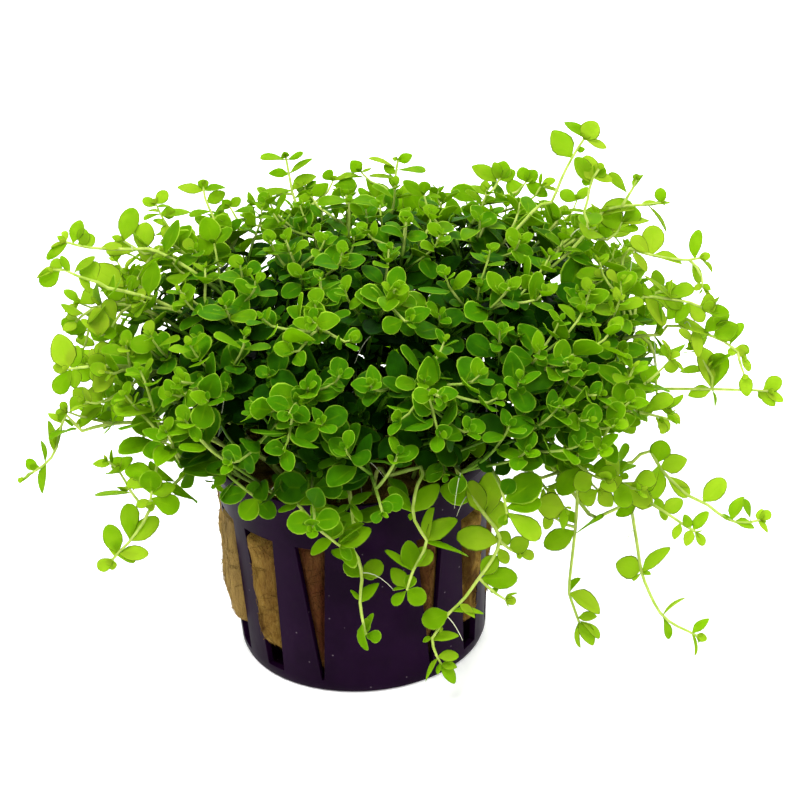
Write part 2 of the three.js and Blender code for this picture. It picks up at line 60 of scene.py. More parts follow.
eye_back = Vector((0.0, -math.cos(ELEVATION), math.sin(ELEVATION)))
eye_up = Vector((0.0, math.sin(ELEVATION), math.cos(ELEVATION)))
eye_turn = Matrix((Vector((1.0, 0.0, 0.0)), eye_up, eye_back)).transposed()
eye_turn = eye_turn @ Matrix.Rotation(-LEAN, 3, "Z")
eye = AIM + eye_back * EYE_DISTANCE

camera = add_object("camera", bpy.data.cameras.new("camera"))
camera.data.lens = LENS
camera.data.sensor_width = SENSOR
camera.data.clip_start = NEAREST_SEEN * MM
camera.rotation_euler = eye_turn.to_euler()
camera.location = eye * MM
bpy.context.scene.camera = camera
bpy.context.scene.view_settings.view_transform = "Standard"

# The surroundings: a lit white table, white walls all round and three large soft lamps, one of
# them behind the plant, so that light comes through the leaves.
TABLE_REACH = 3000.0
TABLE_GLOW = 0.25
ROOM_LIGHT = 0.9
WHITE = (1.0, 1.0, 1.0, 1.0)
LAMPS = [
    ("lamp_over", -25, 62, 700, 350, 8.0),
    ("lamp_right", 75, 25, 800, 400, 3.5),
    ("lamp_behind", 170, 38, 800, 500, 7.0),
]


class Value:
    """A number in a material: expressions on values add the Math nodes that work them out."""

    def __init__(self, paint, socket):
        self.paint = paint
        self.socket = socket

    def maths(self, operation, *others):
        made = self.paint.node("ShaderNodeMath", {"operation": operation}, [self, *others])
        return Value(self.paint, made.outputs[0])

    def __add__(self, other):
        return self.maths("ADD", other)

    def __sub__(self, other):
        return self.maths("SUBTRACT", other)

    def __rsub__(self, other):
        made = self.paint.node("ShaderNodeMath", {"operation": "SUBTRACT"}, [other, self])
        return Value(self.paint, made.outputs[0])

    def __mul__(self, other):
        return self.maths("MULTIPLY", other)

    __radd__ = __add__
    __rmul__ = __mul__

    def between(self, low, high):
        """0 below low and 1 above high, with a soft step from one to the other."""
        made = self.paint.node(
            "ShaderNodeMapRange",
            {"interpolation_type": "SMOOTHSTEP"},
            {"Value": self, "From Min": low, "From Max": high},
        )
        return Value(self.paint, made.outputs[0])


class Paint:
    """A material while it is made."""

    def __init__(self, name):
        self.material = bpy.data.materials.new(name)
        self.material.use_nodes = True
        self.material.node_tree.nodes.clear()

    def node(self, kind, settings, sockets):
        """A node: its settings first, then values or links for its sockets, by name or in order."""
        made = self.material.node_tree.nodes.new(kind)
        for name, setting in settings.items():
            if name == "stops":
                while len(made.color_ramp.elements) < len(setting):
                    made.color_ramp.elements.new(1.0)
                for element, (place, colour) in zip(made.color_ramp.elements, setting):
                    element.position = place
                    element.color = (*colour, 1.0)
            else:
                setattr(made, name, setting)
        pairs = sockets.items() if isinstance(sockets, dict) else enumerate(sockets)
        for key, value in pairs:
            value = value.socket if isinstance(value, Value) else value
            if isinstance(value, bpy.types.NodeSocket):
                self.material.node_tree.links.new(value, made.inputs[key])
            else:
                made.inputs[key].default_value = value
        return made

    def place(self, stretch=(1.0, 1.0, 1.0)):
        """The point on the piece, in millimetres, stretched along its axes."""
        coordinates = self.node("ShaderNodeTexCoord", {}, {})
        scale = [share / MM for share in stretch]
        made = self.node(
            "ShaderNodeMapping", {}, {"Vector": coordinates.outputs["Object"], "Scale": scale}
        )
        return made.outputs[0]

    def attribute(self, name):
        made = self.node("ShaderNodeAttribute", {"attribute_name": name}, {})
        return Value(self, made.outputs["Fac"])

    def parts(self, vector):
        """The numbers that a point or a place on a UV map is made of."""
        made = self.node("ShaderNodeSeparateXYZ", {}, [vector])
        return [Value(self, part) for part in made.outputs]

    def grain(self, place, scale, detail=3.0, roughness=0.55):
        made = self.node(
            "ShaderNodeTexNoise",
            {},
            {"Vector": place, "Scale": scale, "Detail": detail, "Roughness": roughness},
        )
        return Value(self, made.outputs[0])

    def mix(self, share, first, second):
        colours = [(*c, 1.0) if isinstance(c, tuple) else c for c in (first, second)]
        sockets = {0: share, 6: colours[0], 7: colours[1]}
        return self.node("ShaderNodeMix", {"data_type": "RGBA"}, sockets).outputs[2]

    def ramp(self, share, stops):
        return self.node("ShaderNodeValToRGB", {"stops": stops}, [share]).outputs[0]

    def bump(self, height, depth, strength):
        sockets = {"Height": height, "Distance": depth * MM, "Strength": strength}
        return self.node("ShaderNodeBump", {}, sockets).outputs[0]

    def solid(self, colour, roughness, gloss, more):
        """The shader of a surface that stops the light, with any further sockets."""
        sockets = {"Base Color": colour, "Roughness": roughness, "Specular IOR Level": gloss}
        return self.node("ShaderNodeBsdfPrincipled", {}, sockets | more).outputs[0]

    def thin(self, share, shader, colour):
        """The shader, with a share of the light coming through in a colour."""
        glow = self.node("ShaderNodeBsdfTranslucent", {}, {"Color": (*colour, 1.0)})
        mixed = self.node("ShaderNodeMixShader", {}, [share, shader, glow.outputs[0]])
        return mixed.outputs[0]

    def finished(self, shader):
        self.node("ShaderNodeOutputMaterial", {}, {"Surface": shader})
        return self.material


def made_object(name, shape):
    """The object of a finished bmesh, with smooth faces."""
    for face in shape.faces:
        face.smooth = True
    mesh = bpy.data.meshes.new(name)
    shape.to_mesh(mesh)
    shape.free()
    return add_object(name, mesh)


table_shape = bmesh.new()
bmesh.ops.create_grid(table_shape, x_segments=4, y_segments=4, size=TABLE_REACH * MM)
table = made_object("table", table_shape)
paint = Paint("lit_white_table")
cloudy = paint.grain(paint.place(), 0.02)
shade = paint.mix(cloudy, (0.93, 0.925, 0.93), (0.96, 0.955, 0.96))
glow = {"Emission Color": (1.0, 0.99, 0.995, 1.0), "Emission Strength": TABLE_GLOW}
table.data.materials.append(paint.finished(paint.solid(shade, 0.7, 0.5, glow)))

world = bpy.data.worlds.new("white_room")
world.use_nodes = True
world.node_tree.nodes["Background"].inputs["Color"].default_value = WHITE
world.node_tree.nodes["Background"].inputs["Strength"].default_value = ROOM_LIGHT
bpy.context.scene.world = world

for name, azimuth, elevation, distance, width, watts in LAMPS:
    lamp = add_object(name, bpy.data.lights.new(name, "AREA"))
    turn, rise = math.radians(azimuth), math.radians(elevation)
    level = math.cos(rise)
    away = Vector((math.sin(turn) * level, -math.cos(turn) * level, math.sin(rise)))
    lamp.data.size = width * MM
    lamp.data.energy = watts
    lamp.location = (AIM + away * distance) * MM
    lamp.rotation_euler = away.to_track_quat("Z", "Y").to_euler()

# The net pot is one thin moulding of dark plum plastic: a wall that widens upwards, a plain band
# under a slightly flared rim, a flat floor with seven drain slots, and twelve slots in its wall,
# with one panel left whole in front and one behind.
POT_HEIGHT = 44.0
RIM_RADIUS = 28.0
RIM_BAND = 2.4
RIM_STEP = 0.5
RIM_EDGE = (0.2, 0.8)
NECK_RADIUS = 26.9
BAND_MIDDLE = 37.5
BASE_RADIUS = 24.2
FOOT_CHAMFER = 1.4
FOOT_EDGE = 0.4
WALL = 1.2
NECK_Z = POT_HEIGHT - RIM_BAND
WALL_SLOPE = (NECK_RADIUS - BASE_RADIUS) / (NECK_Z - FOOT_CHAMFER)
SLOT_PITCHES = 14
PANEL_PITCHES = SLOT_PITCHES // 2
SLOT_PITCH = 2 * math.pi / SLOT_PITCHES
FRONT_PANEL_ANGLE = math.radians(-84)
SLOT_BOTTOM = 2.8
SLOT_TOP = 33.5
SLOT_ROWS = 11
SLOT_WIDTHS = (4.2, 7.6)
WEDGE_WIDTHS = (0.5, 6.0)
DRAIN_RINGS = (8.0, 11.0, 14.0, 17.0)
DRAIN_WIDTH = 3.0
PITCH_COLUMNS = 8
SLOT_COLUMNS = (2, 6)
SAME_HEIGHT = 0.1
EDGE_ROUNDING = 0.22
EDGE_ANGLE = math.radians(40)
PLUM = (0.0045, 0.0006, 0.0062), (0.0082, 0.0014, 0.0112)
SCUFF = (0.026, 0.014, 0.028)
DUST = (0.16, 0.13, 0.15)


def wall_radius(z):
    return BASE_RADIUS + WALL_SLOPE * (z - FOOT_CHAMFER)


def is_wedge(pitch):
    return pitch % PANEL_PITCHES in (1, PANEL_PITCHES - 1)


def slot_half_width(pitch, z):
    """Half the width of a slot at a height: wedges beside the whole panels, plain ones between."""
    if pitch % PANEL_PITCHES == 0:
        return 0.0
    low, high = WEDGE_WIDTHS if is_wedge(pitch) else SLOT_WIDTHS
    share = min(1.0, max(0.0, (z - SLOT_BOTTOM) / (SLOT_TOP - SLOT_BOTTOM)))
    return (low + (high - low) * share) / 2


def column_angle(pitch, place, radius, z):
    """Where a column of the wall stands once the slot edges have moved to their widths."""
    middle = FRONT_PANEL_ANGLE + pitch * SLOT_PITCH
    if z < SAME_HEIGHT:
        half = math.asin(DRAIN_WIDTH / 2 / radius) if pitch % 2 == 0 else 0.0
    else:
        half = slot_half_width(pitch, z) / radius
    if half == 0.0:
        return middle + (place / PITCH_COLUMNS - 0.5) * SLOT_PITCH
    places = (0, *range(SLOT_COLUMNS[0], SLOT_COLUMNS[1] + 1), PITCH_COLUMNS)
    end = SLOT_PITCH / 2
    angles = (-end, -half, -half / 2, 0.0, half / 2, half, end)
    return middle + float(np.interp(place, places, angles))


def is_on_hole(pitch, place, radius, z):
    if not SLOT_COLUMNS[0] <= place <= SLOT_COLUMNS[1]:
        return False
    if z < SAME_HEIGHT:
        return pitch % 2 == 0 and DRAIN_RINGS[0] - 1 < radius < DRAIN_RINGS[-1] + 1
    is_slotted = pitch % PANEL_PITCHES != 0
    return is_slotted and SLOT_BOTTOM - SAME_HEIGHT < z < SLOT_TOP + SAME_HEIGHT


def turned(bm, profile, steps):
    """Spins a profile of radius and height once round the pot's axis and closes it there."""
    points = [bm.verts.new((radius, 0.0, z)) for radius, z in profile]
    edges = [bm.edges.new(pair) for pair in zip(points, points[1:])]
    bmesh.ops.spin(
        bm,
        geom=points + edges,
        cent=(0, 0, 0),
        axis=(0, 0, 1),
        angle=2 * math.pi,
        steps=steps,
        use_merge=True,
        use_normal_flip=False,
    )
    bmesh.ops.remove_doubles(bm, verts=bm.verts, dist=1e-4)
    bmesh.ops.recalc_face_normals(bm, faces=bm.faces)


pot_profile = [(radius, 0.0) for radius in (0.0, *DRAIN_RINGS, BASE_RADIUS - FOOT_CHAMFER)]
pot_profile += [(BASE_RADIUS - FOOT_EDGE, FOOT_EDGE), (BASE_RADIUS, FOOT_CHAMFER)]
pot_profile += [(wall_radius(z), z) for z in np.linspace(SLOT_BOTTOM, SLOT_TOP, SLOT_ROWS)]
pot_profile += [(wall_radius(BAND_MIDDLE), BAND_MIDDLE), (NECK_RADIUS, NECK_Z)]
pot_profile += [(RIM_RADIUS, NECK_Z + RIM_STEP), (RIM_RADIUS, POT_HEIGHT - RIM_EDGE[1])]
pot_profile += [(RIM_RADIUS - RIM_EDGE[0], POT_HEIGHT)]

pot_shape = bmesh.new()
turned(pot_shape, pot_profile, SLOT_PITCHES * PITCH_COLUMNS)
holes = {}
for vert in pot_shape.verts:
    x, y, z = vert.co
    radius = math.hypot(x, y)
    if radius < DRAIN_RINGS[0] / 2:
        continue
    turn = math.atan2(y, x) - FRONT_PANEL_ANGLE + SLOT_PITCH / 2
    column = round(turn / SLOT_PITCH * PITCH_COLUMNS) % (SLOT_PITCHES * PITCH_COLUMNS)
    pitch, place = divmod(column, PITCH_COLUMNS)
    if is_on_hole(pitch, place, radius, z):
        holes[vert] = pitch
    if z > SAME_HEIGHT or radius < DRAIN_RINGS[-1] + 1:
        angle = column_angle(pitch, place, radius, z)
        vert.co = (radius * math.cos(angle), radius * math.sin(angle), z)
cut = []
for face in pot_shape.faces:
    pitches = {holes.get(vert) for vert in face.verts}
    if len(pitches) == 1 and None not in pitches:
        cut.append(face)
bmesh.ops.delete(pot_shape, geom=cut, context="FACES")
bmesh.ops.scale(pot_shape, vec=(MM, MM, MM), verts=pot_shape.verts)
pot = made_object("net_pot", pot_shape)
thickness = pot.modifiers.new("wall", "SOLIDIFY")
thickness.thickness = WALL * MM
thickness.offset = -1.0
thickness.use_even_offset = True
softened = pot.modifiers.new("edges", "BEVEL")
softened.width = EDGE_ROUNDING * MM
softened.segments = 2
softened.limit_method = "ANGLE"
softened.angle_limit = EDGE_ANGLE
softened.harden_normals = True

paint = Paint("plum_plastic")
spot = paint.place()
cloud = paint.grain(spot, 0.09, 4.0)
rubbed = paint.grain(paint.place((1.0, 1.0, 0.25)), 0.5, 5.0, 0.65)
specks = paint.node("ShaderNodeTexVoronoi", {"feature": "F1"}, {"Vector": spot, "Scale": 0.34})
dust = 1 - Value(paint, specks.outputs["Distance"]).between(0.035, 0.075)
plum = paint.mix(cloud.between(0.3, 0.7), *PLUM)
plum = paint.mix(rubbed.between(0.60, 0.88) * 0.25, plum, SCUFF)
plum = paint.mix(dust * 0.5, plum, DUST)
ripple = {"Normal": paint.bump(cloud * 0.7 + rubbed * 0.3, 0.16, 0.5)}
plastic = paint.solid(plum, 0.26 + rubbed * 0.22 + dust * 0.3, 0.02, ripple)
pot.data.materials.append(paint.finished(plastic))
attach(pot, "root")
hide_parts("pot")


# The plug is one block of mineral wool pressed into the pot. It swells out through the slots, is
# pinched in behind the ribs, narrows to its foot, and loose fibres stand off its surface.
WOOL_FLOOR = 1.7
WOOL_TOP = 40.5
WOOL_CORNER = 20.0
WOOL_FOOT_RADIUS = 19.0
WOOL_FOOT_WAVE = 2.6
WOOL_FULL_WIDTH_Z = 8.6
WOOL_COLUMNS = 252
WOOL_ROWS = 58
WOOL_CAP_RINGS = (17, 13, 9, 5, 0)
WOOL_BEHIND_WALL = 0.35
SLOT_FACE_RADIUS = 25.0
WOOL_PROUD = 0.95
WEDGE_PROUD = 0.1
LEFT_BULGE = 1.3
LUMP_DEPTH = 0.9
SHAG_DEPTH = 0.16
EDGE_DROP = 0.8
STRAND_COUNT = 520
STRAND_LENGTHS = (2.0, 5.5)
STRAND_LIFT = 0.55
STRAND_RADII = (0.03, 0.055, 0.06, 0.06, 0.055, 0.03)
OCHRES = [
    (0.22, (0.030, 0.012, 0.002)),
    (0.42, (0.105, 0.055, 0.009)),
    (0.58, (0.19, 0.115, 0.024)),
    (0.80, (0.30, 0.20, 0.055)),
]
PAINTED_FOLD_SHADE = (0.022, 0.008, 0.002)
PAINTED_LIGHT_YELLOW = (0.46, 0.33, 0.13)
PAINTED_SHADE_BROWN = (0.038, 0.008, 0.004)


def soft_step(value, low, high):
    share = np.clip((value - low) / (high - low), 0.0, 1.0)
    return share * share * (3 - 2 * share)


def wool_radius(angle, z):
    """The plug's surface: out to the wall's face in a slot, in behind the ribs, with lumps."""
    turn = (angle - FRONT_PANEL_ANGLE + SLOT_PITCH / 2) % (2 * math.pi)
    pitch = int(turn / SLOT_PITCH) % SLOT_PITCHES
    offset = (turn - (pitch + 0.5) * SLOT_PITCH) * wall_radius(z)
    from_edge = slot_half_width(pitch, z) - abs(offset)
    inner = wall_radius(z) - WALL - WOOL_BEHIND_WALL
    free = soft_step(from_edge, 0.05, 1.3) * soft_step(SLOT_TOP - z, 0.0, 1.6)
    free *= soft_step(z, WOOL_FULL_WIDTH_Z - 2.5, WOOL_FULL_WIDTH_Z + 1.5)
    lump = noise.noise(Vector((math.cos(angle) * 4, math.sin(angle) * 4, z * 0.16)))
    leftward = soft_step(-math.cos(angle), 0.5, 0.95) * soft_step(SLOT_TOP - z, 1.0, 15.0)
    swell = WALL + (WEDGE_PROUD if is_wedge(pitch) else WOOL_PROUD)
    swell = swell + lump * LUMP_DEPTH + LEFT_BULGE * leftward
    height = z + WOOL_FOOT_WAVE * math.sin(angle * 3 + 1.0)
    spread = soft_step(height, WOOL_FLOOR, WOOL_FULL_WIDTH_Z)
    foot = WOOL_FOOT_RADIUS + (inner - WOOL_FOOT_RADIUS) * spread
    return min(inner, foot) + max(0.0, swell) * free


wool_shape = bmesh.new()
wool_rows = np.linspace(WOOL_FLOOR, WOOL_TOP, WOOL_ROWS)
wool_profile = [(0, WOOL_FLOOR), (WOOL_CORNER / 2, WOOL_FLOOR)]
wool_profile += [(WOOL_CORNER, z) for z in wool_rows]
wool_profile += [(radius, WOOL_TOP + 0.01) for radius in WOOL_CAP_RINGS]
turned(wool_shape, wool_profile, WOOL_COLUMNS)
for vert in wool_shape.verts:
    x, y, z = vert.co
    if math.hypot(x, y) > WOOL_CORNER - 0.5:
        angle = math.atan2(y, x)
        radius = wool_radius(angle, z)
        shaggy = Vector((math.cos(angle) * radius, math.sin(angle) * radius, z * 0.7))
        radius += SHAG_DEPTH * noise.fractal(shaggy * 0.9, 0.8, 2.2, 4)
        drop = EDGE_DROP * soft_step(z, WOOL_TOP - 1.0, WOOL_TOP)
        vert.co = (radius * math.cos(angle), radius * math.sin(angle), z - drop)
    elif z > WOOL_TOP - 1:
        vert.co.z += 0.5 * noise.fractal(vert.co * 0.55, 0.9, 2.1, 3) - 0.3
bmesh.ops.scale(wool_shape, vec=(MM, MM, MM), verts=wool_shape.verts)
wool = made_object("wool_plug_fibres", wool_shape)


def varied(n, k, low=0.0, high=1.0):
    """A number between two limits that looks random, the same each time for thing n, choice k."""
    value = math.sin(n * 127.1 + k * 311.7) * 43758.5453
    return low + (high - low) * (value - math.floor(value))


def tubes(name, lines, sides):
    """Thin tubes along lines of (points, radii, material), as one mesh with closed ends."""
    curve = bpy.data.curves.new(name, "CURVE")
    curve.dimensions = "3D"
    curve.bevel_depth = MM
    curve.bevel_resolution = (sides - 4) // 2
    curve.use_fill_caps = True
    for _ in range(1 + max(material for _, _, material in lines)):
        curve.materials.append(None)
    for points, radii, material in lines:
        spline = curve.splines.new("POLY")
        spline.material_index = material
        spline.use_smooth = True
        spline.points.add(len(points) - 1)
        for knot, point, radius in zip(spline.points, points, radii):
            knot.co = (*(float(c) * MM for c in point), 1.0)
            knot.radius = float(radius)
    holder = add_object(name, curve)
    solid = holder.evaluated_get(bpy.context.evaluated_depsgraph_get())
    mesh = bpy.data.meshes.new_from_object(solid)
    bpy.data.objects.remove(holder)
    bpy.data.curves.remove(curve)
    return mesh


strand_lines = []
for i in range(STRAND_COUNT):
    pitch = int(varied(i, 1, 0, SLOT_PITCHES))
    z = varied(i, 2, SLOT_BOTTOM + 5, SLOT_TOP - 1)
    half = slot_half_width(pitch, z)
    if half < 1.0:
        continue
    offset = varied(i, 3, -0.9, 0.9) * half
    angle = FRONT_PANEL_ANGLE + pitch * SLOT_PITCH + offset / wall_radius(z)
    lean = varied(i, 4, -0.77, 1.43)
    length = varied(i, 5, *STRAND_LENGTHS)
    points = []
    for step in np.linspace(-0.5, 0.5, len(STRAND_RADII)):
        level = z + math.cos(lean) * step * length
        bearing = angle + math.sin(lean) * step * length / SLOT_FACE_RADIUS
        lift = 0.05 + varied(i, 6, 0, STRAND_LIFT) * (2 * step) ** 2
        radius = wool_radius(bearing, level) + lift
        points.append((radius * math.cos(bearing), radius * math.sin(bearing), level))
    strand_lines.append((points, STRAND_RADII, 0))
strands = add_object("wool_strands", tubes("wool_strands", strand_lines, 4))

paint = Paint("mineral_wool")
spot = paint.place()
tangle = paint.grain(paint.place((1.0, 1.0, 0.45)), 0.55, 6.0, 0.7)
fold = paint.grain(paint.place((1.0, 1.0, 0.3)), 0.16)
fibre = paint.grain(paint.place((1.6, 1.6, 0.35)), 2.2, 3.0, 0.6)
ochre = paint.ramp(tangle * 0.55 + fibre * 0.3 + fold * 0.25 - 0.03, OCHRES)
# Painted shade: the troughs of a fold noise are painted dark brown, as shade in the wool's folds.
ochre = paint.mix((1 - fold.between(0.34, 0.46)) * 0.75, ochre, PAINTED_FOLD_SHADE)
rightward, backward, _ = paint.parts(spot)
# Painted light: the wool is painted a lighter yellow on its left side.
ochre = paint.mix((0 - rightward).between(19.0, 26.0) * 0.3, ochre, PAINTED_LIGHT_YELLOW)
# Painted shade: the wool in the front slots, most in the wedges, is painted a dark red-brown.
ochre = paint.mix((0 - backward).between(17.0, 23.0) * 0.82, ochre, PAINTED_SHADE_BROWN)
shag = {"Normal": paint.bump(tangle * 0.5 + fibre * 0.5, 0.9, 1.0)}
wool_paint = paint.finished(paint.solid(ochre, 0.95, 0.03, shag))
strands.data.materials.clear()
for piece in (wool, strands):
    piece.data.materials.append(wool_paint)
    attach(piece, "root")
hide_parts("wool_plug")


# The shoots' stems: soft pale green stalks rooted in the plug. Each rises above the rim and
# arches out to its tip. Those that stand clear of the mound end in the bends that are seen.
SHOOT_COUNT = 58
CREST = 14.0
LIFT_PER_CLIMB, LIFT_PER_DROP = 0.5, 0.55
LEAN_PER_RUN, LEAN_PER_DROP = 0.16, 0.2
REACH_PER_CHORD, REACH_PER_DROP = 0.36, 0.004
STEM_RADIUS = 0.41
TIP_THINNER = 0.4
ROOTS_WITHIN = 21.6
LINE_POINTS = 121
KNOT_STEPS = 8
JOIN_STEPS = 3
TUBE_STEP = 2.2
TOWARDS_EYE = 0.4
SPRIG_FORWARD = 0.5
STEM_SLOT, LEAF_SLOT, ROOT_SLOT = 0, 1, 2
PIXELS_PER_UNIT = PICTURE_SIDE * LENS / SENSOR
MOUND_CENTRE = np.array((7.0, 3.0, 59.0))
MOUND_RADII = np.array((60.0, 52.0, 28.0))
MOUND_LOWEST = -0.3
MOUND_STEPS = 140
TIP_SPACING = 16.8
GOLDEN_ANGLE = math.pi * (3 - math.sqrt(5))
UP = np.array((0.0, 0.0, 1.0))
# Outer tips: x, y and z, then the pitch and swing of the stem's end in degrees.
OUTER_TIPS = [
    (47, 15, 99, 70, 0), (51, 6, 91, 78, 0), (60, 15, 85, 30, 0), (67, 5, 75, 8, 0),
    (64, -8, 67, -8, 0), (74, -6, 61, -25, 0), (82, 0, 49, 4, 0), (60, -20, 54, -12, 0),
    (77, -15, 30, -8, 0), (65, -26, 33, -24, 0), (64, -26, 10, -38, 0), (43, -27, 12, -84, 0),
    (16, -32, 9, -44, -95), (8, -35, 27, -72, -40), (1, -34, 17, -84, 20), (-15, -33, 46, -24, 0),
    (-4, -37, 39, -45, 30), (26, -40, 46, -30, 0), (-46, -26, 34, -44, 0), (-38, -30, 49, -26, 0),
    (-61, -12, 45, -66, 0), (-53, -15, 66, -12, 0), (-56, -5, 82, 2, 0), (-51, 8, 87.5, 8, 0),
    (-51, 0, 71, -50, 0), (-39, 12, 88, 42, 0), (-26.5, 26, 86.5, 66, 0), (-9, 38, 85, 76, 0),
    (11.5, 40, 83.5, 74, 0), (31, 36, 83, 62, 0), (-30, 48, 40, -46, 0), (12, 54, 33, -58, 0),
    (48, 40, 38, -40, 0), (-52, 26, 48, -38, 0), (10, -23, 86, 52, 0), (-5, -30, 84, 40, 0),
    (17, -45, 75, 12, 0), (-10, -44, 73, 10, 0),
]
# Where a shoot's end is seen in the picture, from its arch to its tip, by its number.
SEEN_ENDS = {
    1: [(550, 204), (557, 190), (563, 175), (572, 158), (578, 148), (584, 139)],
    2: [(584, 214), (587, 203), (590, 186), (594, 176), (599, 169)],
    3: [(600, 212), (625, 206), (645, 205), (661, 203)],
    4: [(625, 250), (640, 252), (660, 257), (685, 260), (700, 258)],
    5: [(640, 298), (670, 299), (695, 304), (712, 314)],
    6: [(670, 325), (700, 332), (725, 342), (742, 356)],
    7: [(655, 389), (700, 389), (745, 390), (768, 391)],
    9: [
        (648, 450), (660, 468), (674, 483), (690, 497), (705, 503), (725, 518), (742, 523),
        (760, 520),
    ],
    10: [(650, 503), (668, 514), (684, 525), (696, 532)],
    11: [
        (628, 505), (633, 520), (638, 550), (641, 570), (649, 592), (661, 614), (675, 625),
        (690, 632), (697, 636),
    ],
    12: [(572, 470), (577, 490), (576, 520), (573, 550), (569, 590), (573, 605), (579, 622)],
    13: [
        (452, 455), (458, 475), (465, 488), (474, 500), (484, 514), (495, 527), (500, 541),
        (492, 560), (479, 578), (463, 600), (449, 613), (437, 631), (432, 639), (435, 652),
        (441, 664),
    ],
    14: [
        (424, 467), (418, 483), (414, 500), (413, 516), (420, 530), (427, 542), (421, 556),
        (412, 573), (407, 590),
    ],
    15: [(352, 548), (358, 558), (362, 577), (360, 600), (363, 622), (366, 634)],
    16: [(226, 470), (235, 481), (246, 490), (257, 498)],
    17: [(281, 450), (286, 468), (296, 501), (310, 518), (321, 531), (340, 546)],
    18: [(485, 457), (493, 472), (501, 488), (505, 502), (507, 514)],
    19: [(152, 505), (143, 523), (130, 541), (118, 553), (112, 560)],
    20: [(165, 440), (158, 462), (152, 490), (150, 502)],
    21: [(66, 415), (60, 432), (55, 452), (45, 464), (35, 471), (24, 478)],
    22: [(125, 366), (95, 366), (68, 369)],
    23: [(100, 283), (80, 277), (62, 269), (53, 270)],
    24: [(140, 249), (110, 249), (85, 247), (66, 242)],
    26: [(150, 255), (135, 248), (124, 241)],
    27: [(216, 222), (210, 210), (205, 198), (203, 186)],
    28: [(294, 200), (291, 185), (289, 174), (286, 158)],
    29: [(394, 205), (394, 190), (396, 172), (398, 160)],
    30: [(471, 222), (484, 200), (496, 186), (500, 178)],
}
# Small sprigs, by the number of the shoot they fork from, and where they are seen.
SEEN_SPRIGS = [
    (3, [(622, 206), (628, 196), (633, 188), (637, 180)]),
    (3, [(590, 245), (606, 240), (618, 232), (622, 222)]),
    (4, [(690, 260), (700, 272), (703, 288)]),
    (12, [(576, 528), (560, 522), (548, 510)]),
    (13, [(500, 541), (508, 548), (517, 553)]),
    (13, [(482, 580), (490, 589), (498, 595), (506, 600)]),
    (6, [(738, 352), (740, 363), (744, 374)]),
    (27, [(245, 240), (240, 230), (236, 217), (230, 207)]),
]
ARCH_FORWARD = {13: 5.0, 14: 4.0, 16: 3.0, 17: 5.0, 18: 3.0}


def unit(vector):
    return vector / np.linalg.norm(vector)


def seen_ray(px, py):
    """The way from the eye to a place in the picture, one unit deep."""
    x = (px - PICTURE_SIDE / 2) / PIXELS_PER_UNIT
    y = (PICTURE_SIDE / 2 - py) / PIXELS_PER_UNIT
    return np.array(eye_turn @ Vector((x, y, -1.0)))


def seen_point(px, py, depth):
    return np.array(eye) + seen_ray(px, py) * depth


def seen_at(points):
    """Where in the picture some points show, and how deep they lie."""
    local = (points - np.array(eye)) @ np.array(eye_turn)
    depth = -local[..., 2]
    scale = PIXELS_PER_UNIT / depth
    flat = [PICTURE_SIDE / 2 + local[..., 0] * scale, PICTURE_SIDE / 2 - local[..., 1] * scale]
    return np.stack([*flat, depth], axis=-1)


def nearest_seen(shown, px, py):
    """Which of some points shows nearest to a place in the picture."""
    return int(np.argmin(np.hypot(shown[:, 0] - px, shown[:, 1] - py)))


def before_pot(px, py, depth):
    """The point at a place in the picture, moved towards the eye until it is out of the pot."""
    point = seen_point(px, py, depth)
    while math.hypot(point[0], point[1]) < RIM_RADIUS + 1 and point[2] < POT_HEIGHT + 1:
        depth -= TOWARDS_EYE
        point = seen_point(px, py, depth)
    return point


def bent(foot, rise, reach, tip):
    """A line from foot to tip, drawn towards two points between them."""
    t = np.linspace(0, 1, LINE_POINTS)[:, None]
    near = (1 - t) ** 3 * foot + 3 * (1 - t) ** 2 * t * rise
    return near + 3 * (1 - t) * t * t * reach + t**3 * tip


def smoothed(knots):
    """A smooth line through points, in equal steps from each to the next."""
    knots = np.array(knots)
    slopes = np.gradient(knots, axis=0)
    line = [knots[0]]
    for i in range(len(knots) - 1):
        for t in np.linspace(0, 1, KNOT_STEPS + 1)[1:]:
            start = (1 + 2 * t) * (1 - t) ** 2 * knots[i] + t * (1 - t) ** 2 * slopes[i]
            end = t * t * (3 - 2 * t) * knots[i + 1] + t * t * (t - 1) * slopes[i + 1]
            line.append(start + end)
    return np.array(line)


